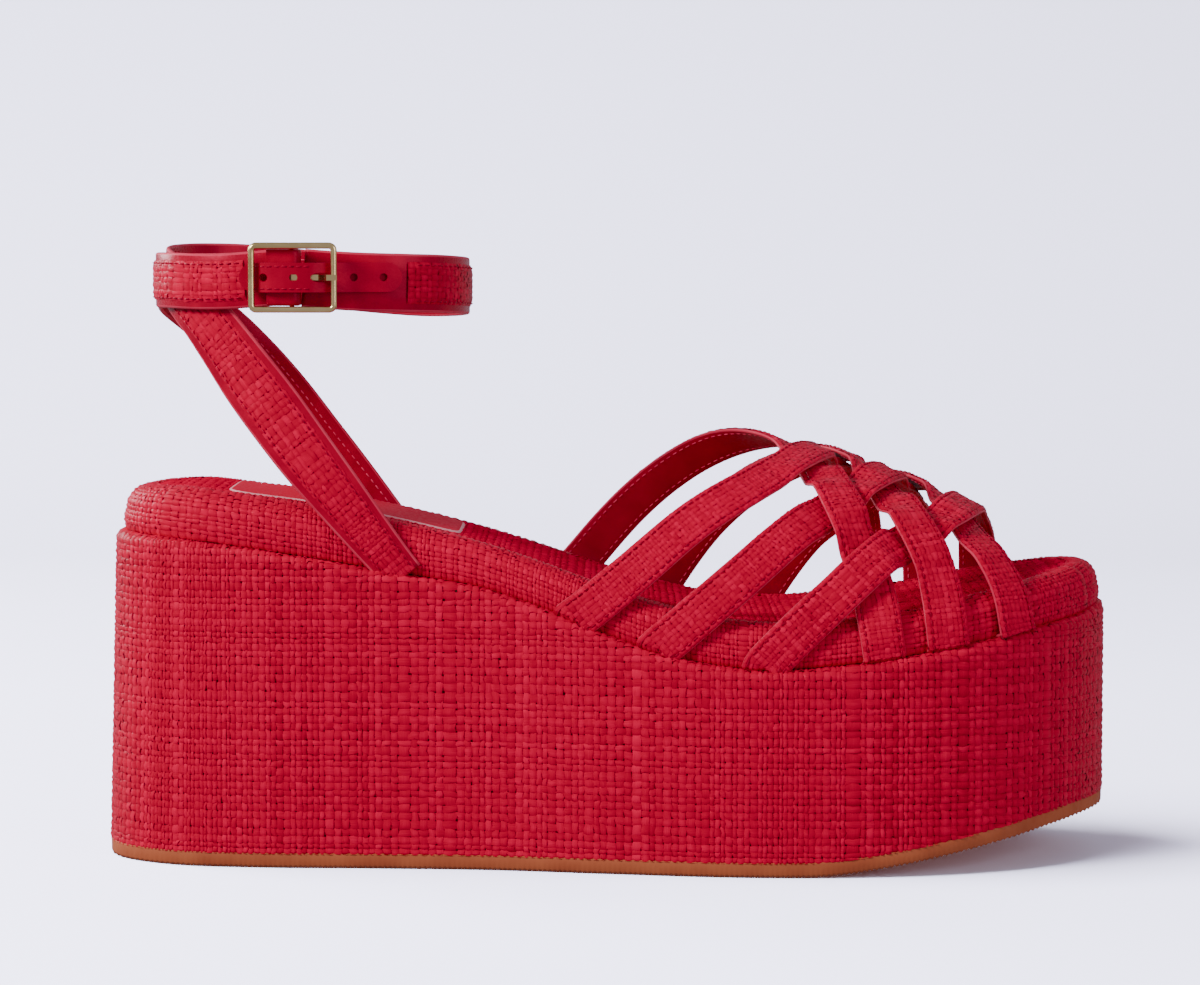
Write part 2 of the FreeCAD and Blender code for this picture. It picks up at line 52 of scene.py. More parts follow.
# plan of the sole
HEEL = (-125, 0)
OUTER_SIDE = [(-121, -16), (-108, -27.5), (-88, -32), (-60, -33.5), (-30, -36), (0, -42),
              (30, -47.3), (57, -48.2), (82, -45), (102, -36.5), (117, -23), (125.5, -8)]
TOE = (127.5, 6)
INNER_SIDE = [(124.5, 19), (114, 32), (92, 42.5), (62, 46), (30, 43), (0, 36),
              (-30, 32), (-60, 30.5), (-88, 30.5), (-108, 27), (-121, 16)]
PLAN_ASPECT = 3.0
PLAN_STEPS = 720

# heights along x: the seam under the footbed, the footbed's top and the outsole's underside
SEAM = [(-150, 84), (-125, 82.4), (-102, 80.8), (-77, 77.4), (-59, 74.4), (-47, 72.4), (-32, 69.8),
        (-15, 64.3), (-4, 59.9), (10, 55), (23, 52.1), (37, 50.6), (54, 51.2), (72, 53.4), (87, 56),
        (98, 57.9), (110, 60), (121, 61.9), (128, 64.2), (150, 72)]
PAD_TOP = [(-150, 93), (-121, 94), (-105, 94.6), (-90, 92.8), (-73, 90.5), (-53, 86.6), (-34, 81.8),
           (-18, 76.8), (0, 70.6), (22, 64.3), (38, 62.3), (50, 62.3), (77, 65.4), (93, 69),
           (110, 72.4), (121, 74.4), (150, 78)]
GROUND = [(-150, 0), (40, 0), (56, 0.5), (72, 2.8), (85, 5.2), (98, 7.8), (111, 10.4),
          (124, 12.2), (150, 13.6)]

# platform: rounded rim, ledge under the footbed, and a heel that leans out towards the floor
RIM_ROUND = 1.3
LEDGE = 5.0
LEDGE_RISE = 0.55
CLOTH_SINK = 0.15
FLARE = 3.0
FLARE_START = -95
FLARE_RUN = 30.0
FLARE_TOP = 110
FLARE_HEIGHT = 115.0

# outsole
OUTSOLE_GROW = 0.1
OUTSOLE_SIDE = 3.7
RIB_PITCH = 1.25
RIB_DEPTH = 0.42
RIB_STEP = 0.31

# footbed
SEAM_GAP = 1.4
PAD_INSET = 3.6
PAD_END_INSET = 1.8
PAD_ROUND = 5.5
PAD_BULGE = 0.55
PAD_TUCK = 0.5
PAD_FLAT = 12

# raffia cloth: height of the over-and-under, share of the pitch filled, arch of one strip
CLOTH_LIFT = 0.3
CLOTH_FILL = 0.91
CLOTH_ARCH = 0.2

# vamp: crest over the foot, and x of each strap every 30 degrees, outer to inner side
CREST = [(-30, 120), (0, 116.5), (20, 112.5), (35, 108), (52, 103), (70, 97.6), (90, 89.6),
         (100, 84), (112, 74)]
CREST_Y = [(-30, 12), (35, 12), (52, 11), (70, 8), (90, 3), (112, 0)]
OUTER_STRAPS = [(-9.7, 16, 41.5, 56.5, 64, 68.5, 70), (10.6, 38.5, 61, 74, 80, 84, 85),
                (36.8, 64, 84, 92.5, 97, 98.8, 99.3)]
INNER_STRAPS = [(68.4, 64.5, 56, 47.5, 28, 5.5, -14), (84.4, 81.5, 73, 65.5, 47, 26, 8),
                (102.3, 99.5, 92, 86, 71, 52, 34.6)]
STRAP_W = 10.8
STRAP_INSET = 1.25
WEAVE_LIFT = 1.55
CROSS_START = 0.36
CROSS_SPAN = 0.28
ARCH_POWER = 0.82
TURN_IN = 1.6
RAW_END = 6.8

# ankle strap: the loop round the ankle, the widths by height and the line it bends along
LOOP_X = -75.6
LOOP_A = 39.3
LOOP_B = 29.8
LOOP_POWER = 2.4
RISER_WIDTH = [(60, 10), (74, 10.5), (84, 12), (94, 13.7), (104, 15)]
OUTER_WIDTH = RISER_WIDTH + [(120, 15.6), (143, 14.6), (150, 14.6)]
INNER_WIDTH = RISER_WIDTH + [(120, 15.2), (143, 14.0), (150, 14.0)]
RISER_FOOT = 5.2
HALF_LEATHER = 0.6
THREAD_R = 0.17

# buckle, its bar, and the leather folded round the bar above and below the prong
BUCKLE_Z = 147.6
BUCKLE_X = -78.0
BUCKLE_Y = -34.9
BUCKLE_HALF_L = 10.2
BUCKLE_HALF_H = 7.9
BUCKLE_CORNER = 1.2
WIRE = 0.8
BAR_WIRE = 0.78
BAR = np.array([-78.4, -31.5])
BAR_REACH = 6.5
PRONG_GAP = 2.6
FOLD_ROUND = 1.75
FOLD_INNER = 1.75
FOLD_OUTER = 7.05

# billet, with five holes; the one in use is worn long, towards the heel
BILLET_LINE = [(-51.4, -27.3), (-55, -28.5), (-58, -29.3), (-61, -30), (-64, -30.8), (-67.5, -32.1),
               (-69.4, -32.9), (-73.4, -34.7), (-76, -35), (-83.5, -35), (-86, -34), (-88, -32.7),
               (-91.4, -32.5)]
BILLET_BACK = -91.4
BILLET_FRONT = -51.4
BILLET_HALF = 3.65
HALF_BILLET = 0.5
HOLE_X = -70.5
HOLE_PITCH = 7.3
HOLE_R = 1.0
WORN_HOLE = (2.4, 1.2)
WORN_SHIFT = 0.8

# name patch on the heel
PATCH_X = -66.5
PATCH_Y = -1.0
PATCH_HALF_L = 29.5
PATCH_HALF_W = 20
PATCH_POWER = 9
PATCH_RISE = 0.5

# backdrop
FLOOR_REACH = 7000
CURVE_START = 900
CURVE_ROUND = 500
WALL_TOP = 2500


# ---------- numbers and curves ----------

def at(table, x):
    """Smooth value of a table of (x, value); x may be an array."""
    t = np.array(table, float)
    xs, ys = t[:, 0], t[:, 1]
    x = np.asarray(x, float)
    k = np.clip(np.searchsorted(xs, x, side="left") - 1, 0, len(xs) - 2)
    before, after = np.maximum(k - 1, 0), np.minimum(k + 2, len(xs) - 1)
    m0 = (ys[k + 1] - ys[before]) / (xs[k + 1] - xs[before])
    m1 = (ys[after] - ys[k]) / (xs[after] - xs[k])
    h = xs[k + 1] - xs[k]
    s = np.clip((x - xs[k]) / h, 0, 1)
    return ((1 + 2 * s) * (1 - s) ** 2 * ys[k] + s * (1 - s) ** 2 * h * m0
            + s * s * (3 - 2 * s) * ys[k + 1] + s * s * (s - 1) * h * m1)


def smooth(t):
    """Soft step from 0 to 1."""
    t = np.clip(t, 0, 1)
    return t * t * (3 - 2 * t)


def unit(v):
    return v / np.maximum(np.linalg.norm(v, axis=-1, keepdims=True), 1e-9)


def path_run(points, power=1.0):
    """Distance along a line of points, each step raised to a power."""
    steps = np.linalg.norm(np.diff(points, axis=0), axis=1) ** power
    return np.concatenate([[0], np.cumsum(steps)])


def spline(points, count, closed=False):
    """Even samples of a smooth curve through points."""
    p = np.array(points, float)
    n = len(p)
    if closed:
        q = np.vstack([p[-2:], p, p[:3]])
        chord = path_run(q, 0.5)
        first, last = chord[2], chord[2 + n]
    else:
        q = np.vstack([2 * p[0] - p[1], p, 2 * p[-1] - p[-2]])
        chord = path_run(q, 0.5)
        first, last = chord[1], chord[-2]
    fine = np.linspace(first, last, count * 6)
    k = np.clip(np.searchsorted(chord, fine, side="right") - 1, 1, len(q) - 3)
    t0, t1, t2, t3 = (chord[k + i][:, None] for i in (-1, 0, 1, 2))
    u = fine[:, None]
    a1 = (t1 - u) / (t1 - t0) * q[k - 1] + (u - t0) / (t1 - t0) * q[k]
    a2 = (t2 - u) / (t2 - t1) * q[k] + (u - t1) / (t2 - t1) * q[k + 1]
    a3 = (t3 - u) / (t3 - t2) * q[k + 1] + (u - t2) / (t3 - t2) * q[k + 2]
    b1 = (t2 - u) / (t2 - t0) * a1 + (u - t0) / (t2 - t0) * a2
    b2 = (t3 - u) / (t3 - t1) * a2 + (u - t1) / (t3 - t1) * a3
    c = (t2 - u) / (t2 - t1) * b1 + (u - t1) / (t2 - t1) * b2
    run = path_run(c)
    even = np.linspace(0, run[-1], count)
    return np.stack([np.interp(even, run, c[:, i]) for i in range(c.shape[1])], 1)


def plan(grow=0.0, ends=0.0):
    """Even closed plan line, grown outward; ends moves heel and toe further out."""
    points = []
    for x, y in [HEEL] + OUTER_SIDE + [TOE] + INNER_SIDE:
        r = math.hypot(x / PLAN_ASPECT, y)
        nx = x / PLAN_ASPECT / r
        points.append((x + (grow + ends * abs(nx)) * nx, y + grow * y / r))
    return spline(points, PLAN_STEPS + 1, True)


class Rim:
    """Plan line by distance along it, with its inward direction."""

    def __init__(self, grow=0.0, ends=0.0):
        self.line = plan(grow, ends)
        self.run = path_run(self.line)
        self.length = self.run[-1]
        ahead = np.roll(self.line[:-1], -2, 0) - np.roll(self.line[:-1], 2, 0)
        n = unit(np.stack([-ahead[:, 1], ahead[:, 0]], 1))
        self.inward = np.vstack([n, n[:1]])

    def place(self, s):
        s = np.mod(s, self.length)
        p = np.stack([np.interp(s, self.run, self.line[:, i]) for i in (0, 1)], -1)
        n = unit(np.stack([np.interp(s, self.run, self.inward[:, i]) for i in (0, 1)], -1))
        return p, n


# ---------- meshes: a tuple of points, faces, fibre directions, tones with painted shade, and strip edges ---

def plain(co, faces):
    """Mesh arrays of a surface without fibres."""
    co = co.reshape(-1, 3)
    return co, faces, np.zeros((len(co), 2)), np.zeros(len(co)), np.zeros(len(co))


def join(parts):
    shift, faces = 0, []
    for p in parts:
        faces.append(p[1] + shift)
        shift += len(p[0])
    return (np.vstack([p[0] for p in parts]), np.vstack(faces), np.vstack([p[2] for p in parts]),
            np.concatenate([p[3] for p in parts]), np.concatenate([p[4] for p in parts]))


def grid_faces(rows, cols, closed=False):
    """Quads of a grid of points; closed joins the last column to the first."""
    i, j = np.meshgrid(np.arange(rows - 1), np.arange(cols if closed else cols - 1), indexing="ij")
    nj = (j + 1) % cols
    corners = [i * cols + j, i * cols + nj, (i + 1) * cols + nj, (i + 1) * cols + j]
    return np.stack(corners, -1).reshape(-1, 4)


def capped(rings):
    """Rings of points with both ends drawn in to a point."""
    first, last = rings[:1], rings[-1:]
    return np.concatenate([first * 0 + first.mean(1, keepdims=True), rings,
                           last * 0 + last.mean(1, keepdims=True)])


def ellipse(count):
    """Cosine and sine of even turns of a ring."""
    t = np.arange(count) / count * 2 * math.pi
    return np.cos(t), np.sin(t)


def finish_mesh(name, arrays, material, edge=None, edge_faces=None, fibres=True):
    """Object from mesh arrays; edge is a second material on the faces marked in edge_faces."""
    co, faces, uv, tone_and_shade, rim = arrays
    me = bpy.data.meshes.new(name)
    co = np.asarray(co, np.float32)
    used = np.zeros(len(co), bool)
    used[faces.ravel()] = True
    index = np.cumsum(used) - 1
    faces = index[faces].astype(np.int32)
    me.vertices.add(int(used.sum()))
    me.vertices.foreach_set("co", (co[used] * MM).ravel())
    me.loops.add(faces.size)
    me.loops.foreach_set("vertex_index", faces.ravel())
    me.polygons.add(len(faces))
    me.polygons.foreach_set("loop_start", np.arange(0, faces.size, 4, dtype=np.int32))
    me.update(calc_edges=True)
    me.polygons.foreach_set("use_smooth", np.ones(len(faces), bool))
    if fibres:
        layer = me.uv_layers.new(name="fibre")
        layer.data.foreach_set("uv", uv[used][faces.ravel()].ravel().astype(np.float32))
        for label, values in (("tone_and_shade", tone_and_shade), ("rim", rim)):
            attr = me.attributes.new(label, "FLOAT", "POINT")
            attr.data.foreach_set("value", values[used].astype(np.float32))
    me.materials.append(material)
    if edge:
        me.materials.append(edge)
        me.polygons.foreach_set("material_index", edge_faces.astype(np.int32))
    me.validate()
    return shown(name, me)


def shown(name, data):
    """New object in the scene."""
    o = bpy.data.objects.new(name, data)
    bpy.context.scene.collection.objects.link(o)
    return o


def piece(name, arrays, material, body, nodes=(), edge=None, edge_faces=None):
    """Visible piece that rides on a body and stands in for the plain nodes."""
    o = finish_mesh(name, arrays, material, edge, edge_faces)
    if body:
        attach(o, body)
    if nodes:
        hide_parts(*nodes)
    return o


# ---------- woven cloth ----------

def strip_edges(first, last, pitch, wide, seed):
    """Uneven strip edges from first to last, with a few wide strips and runs of thin ones."""
    rng = np.random.default_rng(seed)
    widths = []
    total, mood = 0, 1.0
    while total < last - first:
        mood = min(max(mood + rng.normal(0, 0.08), 0.72), 1.28)
        w = pitch * mood * rng.uniform(0.68, 1.3)
        if rng.random() < wide:
            w = pitch * rng.uniform(1.8, 2.6)
        widths.append(w)
        total += w
    edges = np.concatenate([[0], np.cumsum(widths)])
    return first + edges * (last - first) / edges[-1]


def weave(surface, us, vs, lift, fill, seed, keep=None, arch=0.09):
    """Plain weave of flat strips over surface(u, v), which gives points and normals.

    The first strips run along v between the edges us, the second along u between the edges vs.
    A smooth backing lies under them; it takes the darkest colour, painted shade for the gaps between strips.
    """
    rng = np.random.default_rng(seed)
    parts = []
    for turn, (cross, run) in enumerate(((us, vs), (vs, us))):
        mids = (run[1:] + run[:-1]) / 2
        along = np.empty(len(run) + len(mids))
        along[0::2], along[1::2] = run, mids
        n, m = len(cross) - 1, len(along)
        centre = (cross[1:] + cross[:-1]) / 2
        half = (cross[1:] - cross[:-1]) / 2 * fill * rng.uniform(0.9, 1.03, n)
        side = np.array([-1.0, 0, 1.0])
        wobble = rng.normal(0, 0.06, (n, m, 1)) * (cross[1:] - cross[:-1]).mean()
        wide = 1 + rng.normal(0, 0.09, (n, m, 1))
        a = centre[:, None, None] + half[:, None, None] * side * wide + wobble
        b = np.broadcast_to(along[None, :, None], a.shape)
        # over at one crossing and under at the next
        cell = np.zeros((n, m))
        crossing = np.arange(n)[:, None] + np.arange(len(mids)) + turn
        sign = np.where(crossing % 2 == 0, 1.0, -1.0)
        cell[:, 1::2] = sign * rng.uniform(0.75, 1.15, sign.shape)
        h = lift * cell[:, :, None] + arch * (1 - side ** 2)
        h = h + rng.normal(0, 0.035, h.shape) + rng.normal(0, 0.06, (n, m, 1)) * side
        u, v = (b, a) if turn else (a, b)
        p, normal = surface(u, v)
        co = p + normal * h[..., None]
        # a random tone for each strip plus painted shade: crossings that lie over are lighter, crossings
        # that dip under are darker
        tone_and_shade = rng.normal(0.5, 0.09, (n, 1)) + rng.normal(0, 0.05, (n, m)) + 0.09 * cell
        tone_and_shade = np.broadcast_to(np.clip(tone_and_shade, 0, 1)[:, :, None], a.shape)
        # rim: painted shade, darker towards the edges of each strip where it dips beside its neighbours
        rim = np.broadcast_to(np.abs(side), a.shape)
        uv = np.stack([a - centre[:, None, None] + rng.uniform(0, 900, (n, 1, 1)), b], -1)
        strip = (np.arange(n) * m * 3)[:, None, None]
        corner = strip + np.arange(m - 1)[None, :, None] * 3 + np.arange(2)
        faces = np.stack([corner, corner + 1, corner + 4, corner + 3], -1)
        if turn:
            faces = faces[..., ::-1]
        faces = kept(faces.reshape(-1, 4), keep, u, v)
        parts.append((co.reshape(-1, 3), faces, uv.reshape(-1, 2), tone_and_shade.ravel(), rim.ravel()))
    # backing: no tone and full rim, so it takes the darkest colour, painted shade in the gaps between strips
    u, v = np.meshgrid(us[::2], vs[::2], indexing="ij")
    p, normal = surface(u, v)
    co = (p - normal * (lift + 0.12)).reshape(-1, 3)
    faces = kept(grid_faces(*u.shape), keep, u, v)
    parts.append((co, faces, np.zeros((len(co), 2)), np.zeros(len(co)), np.ones(len(co))))
    return join(parts)


def kept(faces, keep, u, v):
    """Faces whose corners all pass keep(u, v)."""
    if keep is None:
        return faces
    return faces[keep(u, v).ravel()[faces].all(1)]


# ---------- materials ----------

def new_material(name):
    m = bpy.data.materials.new(name)
    m.use_nodes = True
    return m, m.node_tree, m.node_tree.nodes["Principled BSDF"]


def add(nt, kind, inputs=None, **settings):
    """New shader node with its settings and socket values."""
    node = nt.nodes.new(kind)
    for key, value in settings.items():
        setattr(node, key, value)
    for key, value in (inputs or {}).items():
        node.inputs[key].default_value = value
    return node


def grey(value):
    return (value, value, value)


def ramp(nt, stops):
    """Colour ramp through (position, colour) stops."""
    node = nt.nodes.new("ShaderNodeValToRGB")
    elements = node.color_ramp.elements
    while len(elements) > 1:
        elements.remove(elements[-1])
    elements[0].position = stops[0][0]
    elements[0].color = stops[0][1] + (1,)
    for position, color in stops[1:]:
        elements.new(position).color = color + (1,)
    return node


def bumped(nt, bsdf, height, strength, distance):
    """Fine relief from a height output."""
    bump = add(nt, "ShaderNodeBump", {"Strength": strength, "Distance": distance})
    nt.links.new(height, bump.inputs["Height"])
    nt.links.new(bump.outputs["Normal"], bsdf.inputs["Normal"])


def raffia_material(name, stops, rough=0.34, spec=0.2):
    """Dyed straw: fibres along each strip, a tone for each strip with painted shade on its sunk crossings,
    and painted shade darkening the strip edges and the backing.
    """
    m, nt, bsdf = new_material(name)
    link = nt.links.new
    # the tone attribute holds the strips' random tone and painted over-and-under shade
    tone_and_shade = add(nt, "ShaderNodeAttribute", attribute_name="tone_and_shade")
    rim = add(nt, "ShaderNodeAttribute", attribute_name="rim")
    uv = add(nt, "ShaderNodeUVMap", uv_map="fibre")
    stretch = add(nt, "ShaderNodeMapping", {"Scale": (5.0, 0.32, 1)})
    fibre = add(nt, "ShaderNodeTexNoise", {"Scale": 1.0, "Detail": 3.0})
    link(uv.outputs["UV"], stretch.inputs["Vector"])
    link(stretch.outputs["Vector"], fibre.inputs["Vector"])
    mix = add(nt, "ShaderNodeMath", {1: 0.55}, operation="MULTIPLY_ADD")
    link(fibre.outputs["Fac"], mix.inputs[0])
    link(tone_and_shade.outputs["Fac"], mix.inputs[2])
    # painted shade: darker towards the strip edges and on the backing
    edge = add(nt, "ShaderNodeMath", {1: -0.13}, operation="MULTIPLY_ADD")
    link(rim.outputs["Fac"], edge.inputs[0])
    link(mix.outputs[0], edge.inputs[2])
    color = ramp(nt, stops)
    link(edge.outputs[0], color.inputs["Fac"])
    link(color.outputs["Color"], bsdf.inputs["Base Color"])
    sheen = ramp(nt, [(0.3, grey(0.55)), (0.75, grey(rough - 0.1))])
    link(fibre.outputs["Fac"], sheen.inputs["Fac"])
    link(sheen.outputs["Color"], bsdf.inputs["Roughness"])
    bumped(nt, bsdf, fibre.outputs["Fac"], 0.35, 0.00012)
    bsdf.inputs["Specular IOR Level"].default_value = spec
    bsdf.inputs["Specular Tint"].default_value = (1.0, 0.03, 0.12, 1)
    return m


def grained(name, dark, light, scale, rough, relief=0.00006, metallic=0.0, tint=(1, 1, 1), spec=0.5):
    """Finely grained surface with slow changes of colour."""
    m, nt, bsdf = new_material(name)
    link = nt.links.new
    where = nt.nodes.new("ShaderNodeTexCoord")
    coarse = add(nt, "ShaderNodeTexNoise", {"Scale": scale * 0.12, "Detail": 4.0})
    fine = add(nt, "ShaderNodeTexNoise", {"Scale": scale, "Detail": 3.0})
    link(where.outputs["Object"], coarse.inputs["Vector"])
    link(where.outputs["Object"], fine.inputs["Vector"])
    color = ramp(nt, [(0.3, dark), (0.7, light)])
    link(coarse.outputs["Fac"], color.inputs["Fac"])
    link(color.outputs["Color"], bsdf.inputs["Base Color"])
    gloss = ramp(nt, [(0.3, grey(rough * 0.8)), (0.7, grey(min(rough * 1.25, 1)))])
    link(fine.outputs["Fac"], gloss.inputs["Fac"])
    link(gloss.outputs["Color"], bsdf.inputs["Roughness"])
    bumped(nt, bsdf, fine.outputs["Fac"], 0.4, relief)
    bsdf.inputs["Metallic"].default_value = metallic
    bsdf.inputs["Specular IOR Level"].default_value = spec
    bsdf.inputs["Specular Tint"].default_value = tint + (1,)
    return m


ROSE = (1.0, 0.08, 0.18)
# the dark low end of this ramp colours the backing, painted shade in the gaps between strips
STRAW = [(0.0, (0.05, 0.0, 0.003)), (0.42, (0.33, 0.0, 0.018)), (0.75, (0.47, 0.0, 0.028)),
         (1.0, (0.63, 0.0, 0.045))]
RAFFIA = raffia_material("raffia", STRAW)
UNDERFOOT = raffia_material("raffia_underfoot", STRAW, 0.55, 0.0)
LEATHER = grained("leather", (0.28, 0.0, 0.016), (0.38, 0.0, 0.022), 1500, 0.28, tint=ROSE)
LINING = grained("lining_leather", (0.32, 0.0, 0.02), (0.42, 0.0, 0.028), 1200, 0.5, tint=ROSE)
PINK = grained("lining_thread", (0.62, 0.02, 0.08), (0.75, 0.08, 0.16), 2500, 0.5, tint=ROSE)
# painted highlight: the cut edges of the leather drawn pale pink, lighter than the leather, as if catching
# the light
EDGE_HIGHLIGHT = grained("leather_edge_highlight", (0.46, 0.015, 0.05), (0.58, 0.05, 0.09), 900, 0.5, tint=ROSE)
THREAD = grained("thread", (0.20, 0.0, 0.012), (0.42, 0.0, 0.03), 2500, 0.45, tint=ROSE)
# painted highlight: the name patch's cut edge drawn pale
PALE_EDGE_HIGHLIGHT = grained("pale_edge_highlight", (0.62, 0.22, 0.26), (0.78, 0.38, 0.40), 700, 0.6, tint=ROSE)
LABEL = grained("label_leather", (0.50, 0.0, 0.028), (0.55, 0.0, 0.032), 1100, 0.62, tint=ROSE, spec=0.1)
RUBBER = grained("rubber", (0.29, 0.06, 0.022), (0.38, 0.095, 0.035), 900, 0.65, 0.00008, spec=0.2)
METAL = grained("buckle_metal", (0.60, 0.46, 0.19), (0.76, 0.61, 0.30), 600, 0.22, 0.00002, 1.0)
CORE = grained("core", (0.34, 0.24, 0.15), (0.48, 0.36, 0.24), 500, 0.8)
FLOOR = grained("backdrop", (0.70, 0.71, 0.86), (0.715, 0.725, 0.875), 3, 0.9, 0.0)


# ---------- sole ----------

def turned_up(n, t):
    """Direction away from the sole, turned up by an angle t from level."""
    return np.stack([-n[..., 0] * np.cos(t), -n[..., 1] * np.cos(t), np.sin(t)], -1)


def ground(x):
    """Height of the outsole's underside: flat, then the toe spring."""
    return np.maximum(at(GROUND, x), 0)


def heel_flare(x, z):
    """How far the heel leans back at a height."""
    share = np.clip((FLARE_START - x) / FLARE_RUN, 0, 1)
    return share * FLARE * np.clip((FLARE_TOP - z) / FLARE_HEIGHT, 0, 1)


def make_platform():
    """Raffia cloth up the platform's wall, over its rounded rim and in along the ledge."""
    wall = Rim()

    def surface(s, v):
        """v is the height on the wall, then the distance over the rim and the ledge."""
        s, v = np.broadcast_arrays(s, v)
        p, n = wall.place(s)
        low = ground(p[..., 0]) + OUTSOLE_SIDE
        wall_top = at(SEAM, p[..., 0]) - RIM_ROUND
        over = np.clip(v - wall_top, 0, None)
        t = np.clip(over / RIM_ROUND, 0, math.pi / 2)
        z = np.where(over > 0, wall_top + RIM_ROUND * np.sin(t), np.maximum(v, low))
        inset = RIM_ROUND * (1 - np.cos(t)) + np.clip(over - RIM_ROUND * math.pi / 2, 0, LEDGE)
        x = p[..., 0] + n[..., 0] * inset - heel_flare(p[..., 0], z)
        y = p[..., 1] + n[..., 1] * inset
        z = z - CLOTH_SINK + LEDGE_RISE * t / (math.pi / 2)
        return np.stack([x, y, z], -1), turned_up(n, t)

    def keep(s, v):
        p, _ = wall.place(s)
        low = ground(p[..., 0]) + OUTSOLE_SIDE
        return (v > low - 1.2) & (v < at(SEAM, p[..., 0]) + LEDGE + 0.4)

    upright = strip_edges(0, wall.length, 1.5, 0.07, 3)
    level = strip_edges(2, 91, 1.6, 0.03, 4)
    cloth = weave(surface, upright, level, CLOTH_LIFT, CLOTH_FILL, 5, keep, CLOTH_ARCH)
    piece("platform_raffia", cloth, RAFFIA, "sole", ["platform_cover"])


def make_outsole():
    """Rubber outsole with fine ribs across its tread."""
    line = plan(OUTSOLE_GROW)
    a, b = line[:-1], line[1:]

    def reach(x):
        """Outer and inner y of the plan line at x."""
        hit = (a[:, 0] - x) * (b[:, 0] - x) <= 0
        p, q = a[hit], b[hit]
        y = p[:, 1] + (q[:, 1] - p[:, 1]) * (x - p[:, 0]) / (q[:, 0] - p[:, 0] + 1e-9)
        return y.min(), y.max()

    rings = []
    for x in np.arange(line[:, 0].min() + 0.15, line[:, 0].max() - 0.1, RIB_STEP):
        lo, hi = reach(x)
        g = float(ground(x))
        tread = g + RIB_DEPTH * abs(math.sin(math.pi * x / RIB_PITCH)) ** 1.5
        inset = min(0.6, (hi - lo) * 0.2)
        mid = (lo + hi) / 2
        x = x - float(heel_flare(x, 0))
        ring = [(lo, g + 3.8), (lo - 0.15, g + 3.4), (lo - 0.15, g + 0.9), (lo + 0.15, tread + 0.15),
                (lo + inset, tread), (mid, tread), (hi - inset, tread), (hi - 0.15, tread + 0.15),
                (hi + 0.15, g + 0.9), (hi + 0.15, g + 3.4), (hi, g + 3.8), (mid, g + 3.8)]
        rings.append([(x, y, z) for y, z in ring])
    rings = capped(np.array(rings))
    faces = grid_faces(len(rings), rings.shape[1], True)[:, ::-1]
    piece("outsole_rubber", plain(rings, faces), RUBBER, "sole", ["outsole"])


def make_footbed():
    """Raffia over the cushion: a band round its side and roll, and the top underfoot."""
    bed = Rim(-PAD_INSET, PAD_INSET - PAD_END_INSET)
    quarter = PAD_ROUND * math.pi / 2

    def band_surface(s, v):
        """v is the height on the side, then the distance over the roll and in along the top."""
        s, v = np.broadcast_arrays(s, v)
        p, n = bed.place(s)
        floor = at(SEAM, p[..., 0]) + SEAM_GAP - PAD_TUCK
        side = at(PAD_TOP, p[..., 0]) - PAD_ROUND - floor
        bulge = PAD_BULGE * np.sin(np.clip(v / side, 0, 1) * math.pi)
        t = np.clip((v - side) / PAD_ROUND, 0, math.pi / 2)
        flat = np.clip(v - side - quarter, 0, PAD_FLAT)
        inset = PAD_ROUND * (1 - np.cos(t)) + flat - bulge
        x, y = p[..., 0] + n[..., 0] * inset, p[..., 1] + n[..., 1] * inset
        roll = at(PAD_TOP, x) - PAD_ROUND * (1 - np.sin(t))
        z = np.where(v < side, floor + np.clip(v, 0, None), roll)
        return np.stack([x, y, z], -1), turned_up(n, t)

    def band_keep(s, v):
        p, _ = bed.place(s)
        side = at(PAD_TOP, p[..., 0]) - PAD_ROUND - at(SEAM, p[..., 0]) - SEAM_GAP + PAD_TUCK
        return (v > -0.3) & (v < side + quarter + 2.2)

    def top_surface(x, y):
        x, y = np.broadcast_arrays(x, y)
        slope = at(PAD_TOP, x + 0.5) - at(PAD_TOP, x - 0.5)
        n = unit(np.stack([-slope, np.zeros_like(x), np.ones_like(x)], -1))
        return np.stack([x, y, at(PAD_TOP, x) - 0.12], -1), n

    def top_keep(x, y):
        """Inside the footbed's plan and clear of its roll."""
        flat = np.stack([x.ravel(), y.ravel()], -1)
        ring = bed.line[:-1:6]
        away = np.empty(len(flat))
        for k in range(0, len(flat), 20000):
            d = flat[k:k + 20000, None, :] - ring[None, :, :]
            away[k:k + 20000] = np.sqrt((d ** 2).sum(-1)).min(1)
        a, b = bed.line[:-1:3], np.roll(bed.line[:-1:3], -1, 0)
        within = np.zeros(len(flat), bool)
        for (x0, y0), (x1, y1) in zip(a, b):
            hit = (y0 > flat[:, 1]) != (y1 > flat[:, 1])
            cut = x0 + (flat[:, 1] - y0) / (y1 - y0 + 1e-12) * (x1 - x0)
            within ^= hit & (flat[:, 0] < cut)
        return (within & (away > PAD_ROUND + 0.3)).reshape(x.shape)

    upright = strip_edges(0, bed.length, 1.5, 0.05, 6)
    level = strip_edges(0, 30, 1.4, 0.03, 7)
    band = weave(band_surface, upright, level, CLOTH_LIFT, CLOTH_FILL, 8, band_keep, CLOTH_ARCH)
    across = strip_edges(-122, 125, 1.7, 0.05, 9)
    lengthwise = strip_edges(-45, 43, 1.7, 0.05, 10)
    top = weave(top_surface, across, lengthwise, 0.28, 0.92, 11, top_keep, 0.18)
    underfoot = np.arange(len(band[1]) + len(top[1])) >= len(band[1])
    cushion = piece("footbed_raffia", join([band, top]), RAFFIA, "sole",
                    ["footbed_cover", "footbed_cushion"], UNDERFOOT, underfoot)


